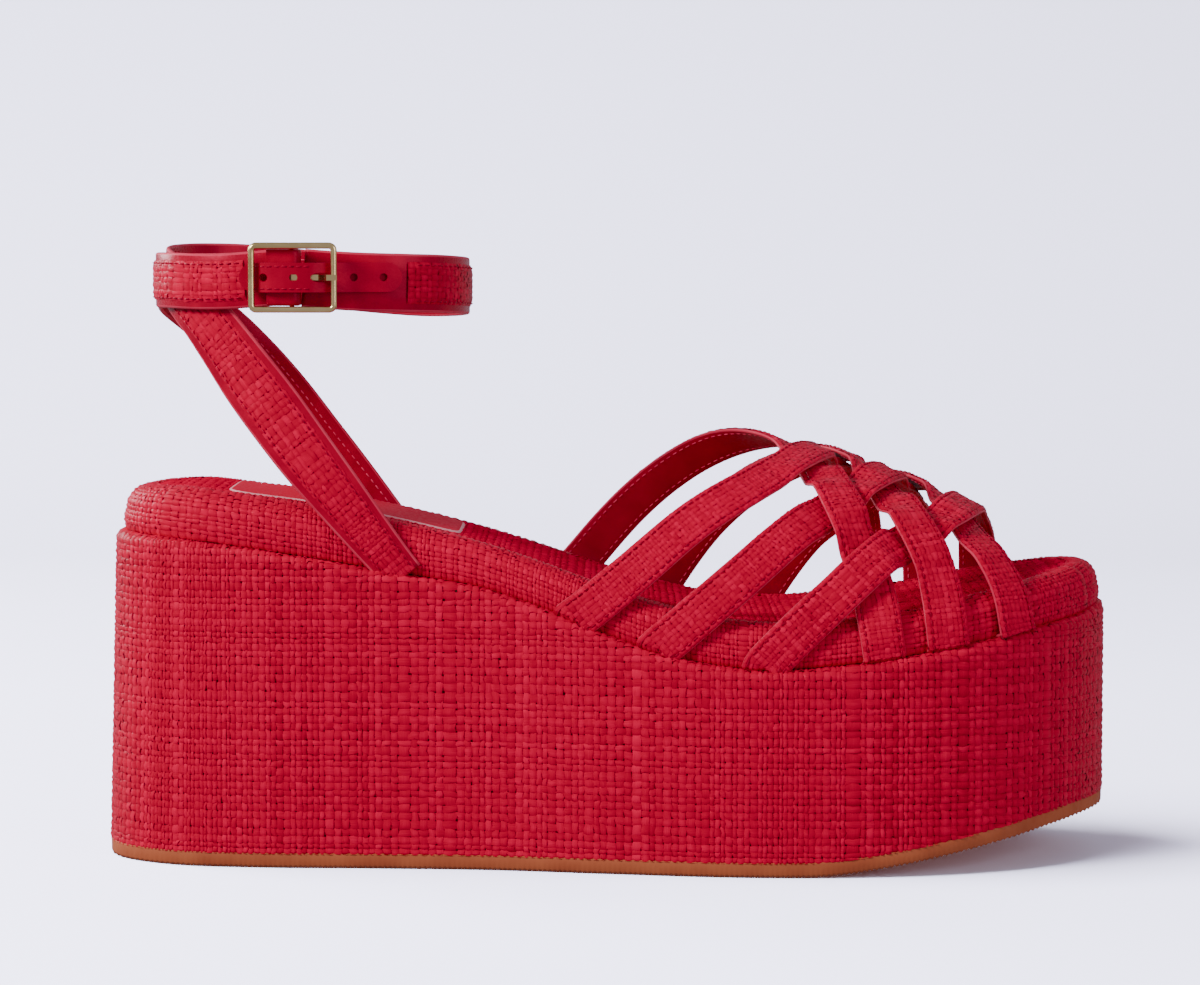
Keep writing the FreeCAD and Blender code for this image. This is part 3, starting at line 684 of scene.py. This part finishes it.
def make_heel_patch():
    """Thin leather name patch on the heel, left blank, with a painted highlight on its cut edge."""
    cols, rows = 60, 42
    gx, gy = np.meshgrid(np.sin(np.linspace(-1, 1, cols) * math.pi / 2),
                         np.sin(np.linspace(-1, 1, rows) * math.pi / 2), indexing="ij")
    corner = (np.abs(gx) ** PATCH_POWER + np.abs(gy) ** PATCH_POWER) ** (1 / PATCH_POWER)
    box = np.maximum(np.abs(gx), np.abs(gy))
    k = np.where(corner > 0, box / np.maximum(corner, 1e-9), 1)
    x = PATCH_X + PATCH_HALF_L * gx * k
    y = PATCH_Y + PATCH_HALF_W * gy * k
    slant = np.clip((1 - box) / 0.05, 0, 1)
    z = at(PAD_TOP, x) + 0.12 + PATCH_RISE * np.sqrt(1 - (1 - slant) ** 2)
    # outermost ring of faces: the cut edge, which takes the painted highlight
    outermost = (box[:-1, :-1] + box[1:, 1:] + box[:-1, 1:] + box[1:, :-1]) / 4 > 0.972
    patch = plain(np.stack([x, y, z], -1), grid_faces(cols, rows)[:, ::-1])
    piece("heel_patch", patch, LABEL, "sole", ["sock_label"], PALE_EDGE_HIGHLIGHT, outermost.ravel())


# ---------- bands ----------

class Band:
    """A strap: left and right edge, outward normal and run length at stations."""

    def __init__(self, left, right, out):
        self.left, self.right, self.out = left, right, unit(out)
        self.run = path_run((left + right) / 2)
        self.length = self.run[-1]

    def place(self, u, v, h=0.0):
        """Point at u across (-0.5 to 0.5), v along, h out from the middle layer."""
        u, v, h = np.broadcast_arrays(u, v, h)

        def pick(a):
            return np.stack([np.interp(v, self.run, a[:, i]) for i in range(3)], -1)

        left, right, out = pick(self.left), pick(self.right), unit(pick(self.out))
        return left * (0.5 - u[..., None]) + right * (0.5 + u[..., None]) + out * h[..., None], out

    def width(self, v):
        return np.interp(v, self.run, np.linalg.norm(self.right - self.left, axis=1))


def leather_band(b, low, high, first=0.0, last=None, step=1.2):
    """Closed leather strip over a band, from height low to high, with rounded cut edges."""
    last = b.length if last is None else last
    n = max(int((last - first) / step), 8)
    v = np.linspace(first, last, n)
    half = (high - low) / 2
    flat = b.width(v) / 2 - half
    ring = [(u * flat, half) for u in (-1, -0.5, 0, 0.5, 1)]
    for a in np.radians([45, 0, -45]):
        ring.append((flat + half * math.cos(a), half * math.sin(a)))
    ring += [(u * flat, -half) for u in (1, 0.5, 0, -0.5, -1)]
    for a in np.radians([-45, 0, 45]):
        ring.append((-(flat + half * math.cos(a)), half * math.sin(a)))
    u = np.stack([across / b.width(v) for across, _ in ring], 1)
    h = np.stack([np.full(n, (high + low) / 2 + out) for _, out in ring], 1)
    p = capped(b.place(u, v[:, None], h)[0])
    return plain(p, grid_faces(len(p), len(ring), True))


def cut_sides(arrays):
    """Marks the cut side faces of a leather band, which take the painted edge highlight: its ring has 16
    faces, eight of them on the sides.
    """
    return np.isin(np.arange(len(arrays[1])) % 16, (4, 5, 6, 7, 12, 13, 14, 15))


def raffia_band(b, share, height, first, last, pitch, seed, lift=0.16, rows=(0.38,)):
    """Woven band over a strap: cut edges turned down, pressed in along its stitch rows."""
    wide = float(b.width((first + last) / 2)) * share
    half = wide / 2

    def surface(u, v):
        edge = np.clip((np.abs(u) - half + 0.8) / 0.8, 0, 1)
        sunk = sum(np.exp(-((np.abs(u) / wide * share - r) * wide / share / 0.42) ** 2) for r in rows)
        along = np.clip(v, first, last)
        return b.place(u / wide * share, along, height - 0.5 * edge ** 2 - 0.28 * sunk)

    count = max(int(round(wide / pitch)), 3)
    rng = np.random.default_rng(seed)
    us = np.linspace(-half, half, count + 1)
    us[1:-1] += rng.uniform(-0.16, 0.16, count - 1) * pitch
    return weave(surface, us, strip_edges(first, last, pitch, 0.05, seed), lift, 0.97, seed + 1)


def stitches(b, u, height, first, last, pitch, face):
    """Row of short thread stitches along a strap; face is -1 on its inner side."""
    starts = np.arange(first + 0.6, last - 0.6, pitch)
    t = np.array([-0.68, -0.5, 0, 0.5, 0.68])
    v = starts[:, None] + t
    rise = np.array([-0.22, 0.0, 0.06, 0.0, -0.22])
    fat = (THREAD_R * np.array([0.5, 0.95, 1.05, 0.95, 0.5]))[None, :, None, None]
    p, out = b.place(np.full(v.shape, u), v, height + face * rise)
    ahead = unit(np.gradient(p, axis=1))
    across = unit(np.cross(ahead, out))
    up = np.cross(across, ahead)
    turn = np.linspace(0, 2 * math.pi, 7)[:-1]
    co = (p[:, :, None, :] + across[:, :, None, :] * (np.cos(turn)[None, None, :, None] * fat)
          + up[:, :, None, :] * (np.sin(turn)[None, None, :, None] * fat))
    one = grid_faces(len(t), len(turn), True)
    first_point = np.arange(len(starts)) * len(t) * len(turn)
    return plain(co, (one[None] + first_point[:, None, None]).reshape(-1, 4))


def stitch_rows(b, offset, height, first, last, pitch=2.0, face=1):
    """Two rows of stitches, one along each side of a band."""
    return join([stitches(b, u, height, first, last, pitch, face) for u in (-offset, offset)])


# ---------- vamp ----------

def foot_y(x, inner):
    """y where a vamp strap goes into the seam."""
    side = at([HEEL] + (INNER_SIDE[::-1] if inner else OUTER_SIDE) + [TOE], x)
    inset = STRAP_INSET - 0.9 * smooth((x - 78) / 18)
    return side - inset if inner else side + inset


def foot_arch(x, angle):
    """Point over the foot: 0 degrees at the outer side, 90 at the crest, 180 at the inner side."""
    t = np.radians(angle)
    z0, yc = at(SEAM, x), at(CREST_Y, x)
    edge = np.where(angle <= 90, foot_y(x, False), foot_y(x, True))
    y = yc + (edge - yc) * np.abs(np.cos(t)) ** ARCH_POWER
    return np.stack([x, y, z0 + (at(CREST, x) - z0) * np.sin(t)], -1)


def foot_angle(p):
    """Angle of a point over the foot."""
    yc = at(CREST_Y, p[..., 0])
    inner = p[..., 1] > yc
    edge = np.where(inner, foot_y(p[..., 0], True), foot_y(p[..., 0], False))
    share = np.clip(np.abs((p[..., 1] - yc) / (edge - yc)), 0, 1) ** (1 / ARCH_POWER)
    angle = np.degrees(np.arccos(share))
    return np.where(inner, 180 - angle, angle)


def strap_x(strap, angle):
    return at([(30 * k, x) for k, x in enumerate(strap)], angle)


def over_under(p, crossed, number, over):
    """Lift of a strap at a point, over or under each of the three straps that cross it."""
    angle = foot_angle(p)
    xs = [strap_x(s, angle) for s in crossed]
    x = p[..., 0]
    place = np.where(x < xs[1], (x - xs[0]) / (xs[1] - xs[0]), 1 + (x - xs[1]) / (xs[2] - xs[1]))
    outside = np.maximum(np.maximum(-CROSS_START - place, place - 2 - CROSS_START), 0)
    place = np.clip(place, 0, 2)
    low = np.floor(place)
    part = smooth((place - low - CROSS_START) / CROSS_SPAN)
    first = np.where((number + low) % 2 == 0, 1, -1)
    return over * WEAVE_LIFT * first * (1 - 2 * part) * (1 - smooth(outside / 0.45))


def strap_tail(edges, k, side):
    """End of a strap that turns in under the footbed, from the strap inward."""
    mid = (edges[0][k] + edges[1][k]) / 2
    a = edges[1][k] - edges[0][k]
    flat = unit(np.array([a[0], a[1], 0]))
    away = np.array([-flat[1], flat[0], 0])
    away = -away if away[1] * side < 0 else away
    tail = []
    for degrees, tuck in ((12, 0), (30, 0), (50, 0), (70, 0), (90, 0), (90, 3.0), (90, 6.0)):
        t = math.radians(degrees)
        depth = -TURN_IN * (1 - math.cos(t)) - tuck
        normal = away * math.cos(t) - np.array([0, 0, math.sin(t)])
        row = []
        for s in (-0.5, 0.5):
            q = mid + away * depth + flat * s * STRAP_W
            q[2] = at(SEAM, q[0]) + SEAM_GAP / 2 + TURN_IN * (1 - math.sin(t))
            row.append(q)
        tail.append((row[0], row[1], normal))
    return tail


def vamp_band(strap, crossed, number, over):
    angle = np.linspace(1.5, 178.5, 178)
    x = strap_x(strap, angle)
    p = foot_arch(x, angle)
    lo, hi = np.clip(angle - 2, 0, 180), np.clip(angle + 2, 0, 180)
    along = unit(foot_arch(strap_x(strap, hi), hi) - foot_arch(strap_x(strap, lo), lo))
    out = unit(np.cross(foot_arch(x + 1, angle) - foot_arch(x - 1, angle), along))
    outer = np.stack([x * 0, -np.cos(np.radians(angle)), np.sin(np.radians(angle)) + 0.2], -1)
    out = np.where(((out * outer).sum(-1) < 0)[:, None], -out, out)
    across = unit(np.cross(out, along))
    edges = []
    for side in (-0.5, 0.5):
        e = p + across * (side * STRAP_W)
        edges.append(e + out * over_under(e, crossed, number, over)[:, None])
    start = strap_tail(edges, 0, -1)[::-1]
    end = strap_tail(edges, -1, 1)
    left, right, normal = (np.vstack([[row[i] for row in start], middle, [row[i] for row in end]])
                           for i, middle in enumerate((edges[0], edges[1], out)))
    return Band(left, right, normal)


def make_vamp():
    """Three straps from each side, each a leather lining with a raffia band stitched on it."""
    for number in range(3):
        for side, strap, crossed, over in (("outer", OUTER_STRAPS[number], INNER_STRAPS, 1),
                                           ("inner", INNER_STRAPS[number], OUTER_STRAPS, -1)):
            label = f"vamp_{side}_{number + 1}"
            b = vamp_band(strap, crossed, number, over)
            seed = 20 + number * 4 + (side == "inner") * 2
            end = b.length - RAW_END
            lining = leather_band(b, -0.93, -0.05)
            piece(label + "_leather", lining, LINING, "sole", [label + "_lining"], EDGE_HIGHLIGHT,
                  cut_sides(lining))
            woven = raffia_band(b, 0.97, 0.42, RAW_END, end, 1.35, seed)
            piece(label + "_woven", woven, RAFFIA, "sole", [label + "_raffia"])
            rows = stitch_rows(b, 0.38, 0.5, RAW_END + 0.5, end - 0.5)
            piece(label + "_stitches", rows, THREAD, "sole")
            rows = stitch_rows(b, 0.36, -0.9, RAW_END + 2, end - 2, face=-1)
            piece(label + "_lining_stitches", rows, PINK, "sole")


# ---------- ankle strap ----------

def loop(x, side, z, inset):
    """Point of the loop round the ankle, set in from its outside."""
    share = abs((x - LOOP_X) / (LOOP_A - inset)) ** LOOP_POWER
    return (x, side * (LOOP_B - inset) * max(1 - share, 0) ** (1 / LOOP_POWER), z)


# from the seam up, behind the heel, round the inner side and the front, and back to the billet
OUTER_LINE = [(-47.4, -32.3, 69), (-51.9, -32.3, 74.4), (-59.2, -32.3, 83.3), (-67.5, -32, 93.7),
              (-75.4, -31, 103.6), (-83.5, -29, 114.3), (-90.5, -26.5, 123.4), (-96, -24.1, 130.9),
              loop(-101.4, -1, 137.8, 2.7), loop(-106.5, -1, 143, 2.7), loop(-110.6, -1, 146.6, 2.7),
              loop(-112.3, 1, 147.9, 2.7), loop(-110.6, 1, 148.4, 2.7), loop(-105, 1, 148.6, 2.7),
              loop(-95, 1, 148.3, 2.6), loop(-84, 1, 147.3, 2), loop(-72, 1, 145.9, 1),
              loop(-60, 1, 144.7, 0.2), loop(-49, 1, 144, -0.3), loop(-40.5, 1, 144.2, -0.3),
              loop(-36.4, 1, 144.8, -0.3), loop(-37.2, -1, 145.4, -0.3), loop(-43, -1, 145.9, -0.3),
              loop(-52, -1, 146.2, -0.2), loop(-62, -1, 146.5, 0), (-69, -29.75, 146.9),
              (-75.7, -29.75, 147.4)]
# from the seam up, behind the heel outside the other one, to the buckle's bar
INNER_LINE = [(-47.6, 29.2, 69), (-52.1, 29, 74.4), (-59.3, 28.9, 83.3), (-68, 29, 93.7),
              (-76.4, 29.3, 103.6), (-84.8, 29.3, 114.3), (-92.3, 28, 123.4),
              loop(-98.5, 1, 130.4, 0), loop(-104.2, 1, 136, 0), loop(-109.6, 1, 140.4, 0),
              loop(-113.6, 1, 144, 0), loop(-114.85, 1, 146.2, 0), loop(-113.6, -1, 146.7, 0),
              loop(-109.4, -1, 146.7, 0), loop(-103, -1, 146.5, 0), loop(-95.5, -1, 146.6, 0),
              loop(-88, -1, 147.1, 0), (-83, -29.75, 147.5), (-78.4, -29.75, 147.6)]


def ankle_band(points, widths):
    """Band along a line: it faces sideways on the risers and out of the loop higher up."""
    p = spline(points, 260)
    along = unit(np.gradient(p, axis=0))
    turn = smooth((p[:, 2] - 104) / 26)
    out = [(p[:, 0] - LOOP_X) / LOOP_A ** 2 * turn, p[:, 1] / LOOP_B ** 2, p[:, 0] * 0]
    out = unit(np.stack(out, -1))
    out = unit(out - along * (out * along).sum(-1, keepdims=True))
    across = np.cross(out, along)
    half = at(widths, p[:, 2])[:, None] / 2
    return Band(p - across * half, p + across * half, out)


def make_ankle_strap():
    """Both halves of the ankle strap."""
    for side, points, widths, share, gap, seed in (("outer", OUTER_LINE, OUTER_WIDTH, 0.908, 0.0, 50),
                                                   ("inner", INNER_LINE, INNER_WIDTH, 0.93, PRONG_GAP, 56)):
        b = ankle_band(points, widths)
        last = b.length * share
        strip = leather_band(b, -HALF_LEATHER, HALF_LEATHER, RISER_FOOT, b.length - gap)
        made = [piece(side + "_ankle_strap", strip, LEATHER, None,
                      [side + "_ankle_leather", side + "_riser_root"], EDGE_HIGHLIGHT, cut_sides(strip))]
        woven = raffia_band(b, 0.72, 1.1, RISER_FOOT + 0.2, last, 1.6, seed, 0.2, (0.31,))
        made.append(piece(side + "_ankle_woven", woven, RAFFIA, None,
                          [side + "_ankle_raffia", side + "_riser_root_raffia"]))
        rows = stitch_rows(b, 0.31, 1.18, RISER_FOOT + 1.5, last - 1)
        made.append(piece(side + "_ankle_stitches", rows, THREAD, None))
        rows = stitch_rows(b, 0.31, -0.57, RISER_FOOT + 2, last - 1, face=-1)
        made.append(piece(side + "_ankle_lining_stitches", rows, PINK, None))
        for o in made:
            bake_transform(o)


def make_bar_folds():
    """Leather folded round the buckle's bar, above and below the prong."""
    turns = np.radians(np.linspace(90, -90, 15))
    round_bar = np.stack([np.cos(turns), np.sin(turns)], 1)
    path = np.vstack([[-81.0, -29.75], [-79.4, -29.75], BAR + FOLD_ROUND * round_bar,
                      [[-80.4, -33.25], [-82.4, -33.3], [-84.6, -33.1]]])
    facing = np.vstack([[0, 1], [0, 1], round_bar, [[0, -1]] * 3])
    level = np.ones((len(path), 1))
    for label, low, high in (("upper", FOLD_INNER, FOLD_OUTER), ("lower", -FOLD_OUTER, -FOLD_INNER)):
        b = Band(np.hstack([path, level * (BUCKLE_Z + low)]), np.hstack([path, level * (BUCKLE_Z + high)]),
                 np.hstack([facing, level * 0]))
        strip = leather_band(b, -HALF_LEATHER, HALF_LEATHER, step=0.4)
        piece("bar_fold_" + label, strip, LEATHER, "ankle_strap")


# ---------- billet ----------

class BilletLine:
    """Middle line of the billet by x, with its slope."""

    def __init__(self):
        centre = spline(BILLET_LINE, 200)
        order = np.argsort(centre[:, 0])
        self.x, self.y = centre[order, 0], centre[order, 1]
        self.slope = np.gradient(self.y, self.x)

    def normal(self, x):
        slope = np.interp(x, self.x, self.slope)
        return np.stack([slope, -np.ones_like(slope)], -1)

    def place(self, x, z, h):
        """Point at a height z on the billet, h out from its middle layer."""
        n = unit(self.normal(x))
        return np.stack([x + n[:, 0] * h, np.interp(x, self.x, self.y) + n[:, 1] * h, BUCKLE_Z + z], -1)


def billet_outline():
    """Strip with round ends, as points of x and z."""
    back, front = BILLET_BACK + BILLET_HALF, BILLET_FRONT - BILLET_HALF
    t = np.linspace(math.pi / 2, 3 * math.pi / 2, 17)
    side = np.full(40, BILLET_HALF)
    return np.vstack([np.stack([back + BILLET_HALF * np.cos(t), BILLET_HALF * np.sin(t)], 1),
                      np.stack([np.linspace(-87, -56, 40), -side], 1),
                      np.stack([front - BILLET_HALF * np.cos(t), -BILLET_HALF * np.sin(t)], 1),
                      np.stack([np.linspace(-56, -87, 40), side], 1)])


def billet_holes():
    """Centre x and half sizes of the five holes."""
    holes = []
    for k in range(-2, 3):
        x = HOLE_X + HOLE_PITCH * k
        holes.append((x - WORN_SHIFT,) + WORN_HOLE if k == 0 else (x, HOLE_R, HOLE_R))
    return holes


def billet_triangles(loops, holes):
    """Flat triangles of the billet between its outline and its holes."""
    inner = np.array([(x, z) for x in np.arange(-90, -52, 0.8) for z in np.arange(-2.8, 2.9, 0.8)])
    clear = np.ones(len(inner), bool)
    for x, rx, rz in holes:
        clear &= ((inner[:, 0] - x) / (rx + 0.3)) ** 2 + (inner[:, 1] / (rz + 0.3)) ** 2 > 1
    for end, side in ((BILLET_BACK + BILLET_HALF, -1), (BILLET_FRONT - BILLET_HALF, 1)):
        past = (inner[:, 0] - end) * side > 0
        near = (inner[:, 0] - end) ** 2 + inner[:, 1] ** 2 < (BILLET_HALF - 0.3) ** 2
        clear &= ~past | near
    edges, first = [], 0
    for ring in loops:
        edges += [(first + i, first + (i + 1) % len(ring)) for i in range(len(ring))]
        first += len(ring)
    points = [Vector(q) for q in np.vstack(loops + [inner[clear]])]
    flat, _, tris, _, _, _ = delaunay_2d_cdt(points, edges, [], 0, 1e-5)
    flat = np.array(flat)
    tris = np.array([f for f in tris if len(f) == 3])
    mid = flat[tris].mean(1)
    solid = np.ones(len(tris), bool)
    for x, rx, rz in holes:
        solid &= ((mid[:, 0] - x) / rx) ** 2 + (mid[:, 1] / rz) ** 2 > 0.97
    return flat, tris[solid]


def make_billet():
    """Narrow leather end with five holes, threaded through the buckle."""
    line = BilletLine()
    holes = billet_holes()
    cos, sin = ellipse(16)
    loops = [billet_outline()] + [np.stack([x + rx * cos, rz * sin], 1) for x, rx, rz in holes]
    flat, tris = billet_triangles(loops, holes)
    count = len(flat)
    layers = [line.place(flat[:, 0], flat[:, 1], np.full(count, h)) for h in (HALF_BILLET, -HALF_BILLET)]
    faces = [tuple(f) for f in tris[:, ::-1]] + [tuple(f + count) for f in tris]
    first = 2 * count
    for ring in loops:
        n = len(ring)
        for h in (HALF_BILLET, -HALF_BILLET):
            layers.append(line.place(ring[:, 0], ring[:, 1], np.full(n, h)))
        for i in range(n):
            j = (i + 1) % n
            faces.append((first + i, first + j, first + n + j, first + n + i))
        first += 2 * n
    me = bpy.data.meshes.new("billet_leather")
    co = np.vstack(layers) * MM
    me.from_pydata([tuple(v) for v in co], [], [tuple(int(i) for i in f) for f in faces])
    me.materials.append(LEATHER)
    # second slot: painted highlight on the side faces of the billet's outline
    me.materials.append(EDGE_HIGHLIGHT)
    for poly in me.polygons:
        poly.material_index = int(0 <= poly.index - 2 * len(tris) < len(loops[0]))
        poly.use_smooth = True
    me.validate()
    o = shown("billet_leather", me)
    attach(o, "ankle_strap")
    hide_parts("billet")
    x = np.linspace(-90.5, -52.5, 120)
    normal = np.hstack([line.normal(x), np.zeros((120, 1))])
    base = line.place(x, np.zeros(120), np.zeros(120))
    b = Band(base - [0, 0, BILLET_HALF], base + [0, 0, BILLET_HALF], normal)
    rows = stitch_rows(b, 0.38, 0.5, 1.5, 17.5, 1.8)
    piece("billet_stitches", rows, THREAD, "ankle_strap")


# ---------- buckle ----------

def tube(path, radius, closed=False, count=14):
    """Round wire along a path."""
    p = np.array(path, float)
    if closed:
        ahead = unit(np.roll(p, -1, 0) - np.roll(p, 1, 0))
    else:
        ahead = unit(np.gradient(p, axis=0))
    side = np.array([0, 1.0, 0]) if abs(ahead[:, 1]).max() < 0.9 else np.array([0, 0, 1.0])
    a = unit(np.cross(ahead, side))
    b = np.cross(a, ahead)
    cos, sin = ellipse(count)
    co = (p[:, None] + a[:, None] * (cos[None, :, None] * radius)
          + b[:, None] * (sin[None, :, None] * radius))
    if closed:
        co = np.concatenate([co, co[:1]])
    else:
        co = np.concatenate([np.broadcast_to(p[:1, None], (1, count, 3)), co,
                             np.broadcast_to(p[-1:, None], (1, count, 3))])
    return plain(co, grid_faces(len(co), count, True))


def make_buckle():
    """Rectangular wire frame with rounded corners, its middle bar, and the prong."""
    corners = []
    for right, up, start in ((1, 1, 0), (-1, 1, 90), (-1, -1, 180), (1, -1, 270)):
        cx = BUCKLE_X + right * BUCKLE_HALF_L - right * BUCKLE_CORNER
        cz = BUCKLE_Z + up * BUCKLE_HALF_H - up * BUCKLE_CORNER
        for a in np.radians(np.linspace(start, start + 90, 9)):
            corners.append((cx + BUCKLE_CORNER * math.cos(a), BUCKLE_Y, cz + BUCKLE_CORNER * math.sin(a)))
    hoop = []
    for p, q in zip(corners, corners[1:] + corners[:1]):
        cuts = max(int(math.dist(p, q)), 1)
        hoop += [tuple(np.array(p) + (np.array(q) - np.array(p)) * i / cuts) for i in range(cuts)]
    x, y = BAR
    low = BUCKLE_Z - BUCKLE_HALF_H
    dip = [(x, BUCKLE_Y, low), (x, -33.2, low), (x, -32.0, low + 0.1), (x, y, low + 0.6)]
    middle = [(x, y, BUCKLE_Z + z) for z in np.linspace(-BAR_REACH, BAR_REACH, 9)]
    bar = dip + middle + [(x, y, 2 * BUCKLE_Z - z) for x, y, z in dip[::-1]]
    metal = join([tube(hoop, WIRE, True, 18), tube(bar, BAR_WIRE)])
    piece("buckle_frame_metal", metal, METAL, "buckle_frame_body", ["buckle_frame"])
    paint("buckle_prong", METAL)


def paint(name, material):
    """Gives a plain node its material."""
    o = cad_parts[name]
    o.data.materials.clear()
    o.data.materials.append(material)


# ---------- backdrop, lights and camera; places in metres ----------

def make_backdrop():
    """Floor that curves up into a wall; it throws no light or reflection on the sandal."""
    t = np.linspace(0.2, math.pi / 2, 10)
    depth = np.concatenate([np.linspace(-FLOOR_REACH, CURVE_START, 8), CURVE_START + CURVE_ROUND * np.sin(t),
                            [CURVE_START + CURVE_ROUND]])
    rise = np.concatenate([np.zeros(8), CURVE_ROUND * (1 - np.cos(t)), [WALL_TOP]])
    sweep = np.array([[(x, y, z) for x in (-FLOOR_REACH, 0, FLOOR_REACH)] for y, z in zip(depth, rise)])
    arrays = plain(sweep, grid_faces(len(sweep), 3)[:, ::-1])
    floor = finish_mesh("backdrop", arrays, FLOOR, fibres=False)
    floor.visible_diffuse = False
    floor.visible_glossy = False
    return floor


def make_world():
    world = bpy.data.worlds.new("studio")
    bpy.context.scene.world = world
    world.use_nodes = True
    background = world.node_tree.nodes["Background"]
    background.inputs["Color"].default_value = (0.94, 0.86, 1.0, 1)
    background.inputs["Strength"].default_value = 0.46


def area(name, where, target, size, power, color=(1, 1, 1), only=None):
    """Square soft light; only limits it to one object."""
    light = bpy.data.lights.new(name, "AREA")
    light.energy = power
    light.size = size
    light.color = color
    o = shown(name, light)
    o.location = where
    o.rotation_euler = (Vector(target) - Vector(where)).to_track_quat("-Z", "Y").to_euler()
    if only:
        lit = bpy.data.collections.new(name + "_lit")
        lit.objects.link(only)
        o.light_linking.receiver_collection = lit


def make_lights(floor):
    area("key", (-0.85, -0.55, 0.7), (0, 0, 0.05), 0.36, 16.5)
    area("rim", (-0.9, 0.5, 0.45), (-0.05, 0, 0.08), 0.4, 8.0, (1.0, 0.95, 0.97))
    area("fill", (0.9, -0.9, 0.45), (0.05, 0, 0.05), 0.7, 5.0, (1.0, 0.94, 1.0))
    area("floor_wash", (-1.3, -0.3, 2.2), (0, 0.3, 0), 1.9, 390.0, (0.88, 0.87, 1.0), floor)


def make_camera():
    cam = bpy.data.cameras.new("camera")
    cam.lens = 117
    cam.sensor_width = 36
    cam.clip_start = 0.05
    cam.clip_end = 20
    eye = shown("camera", cam)
    eye.location = (-0.002, -1.0, 0.160)
    look = Vector((-0.002, 0, 0.092)) - eye.location
    eye.rotation_euler = look.to_track_quat("-Z", "Y").to_euler()
    bpy.context.scene.camera = eye


# ---------- the sandal ----------

make_platform()
make_outsole()
make_footbed()
make_vamp()
make_ankle_strap()
make_bar_folds()
make_billet()
make_buckle()
make_heel_patch()
for hidden in ("platform_core", "insole_board"):
    paint(hidden, CORE)

floor = make_backdrop()
make_world()
make_lights(floor)
make_camera()
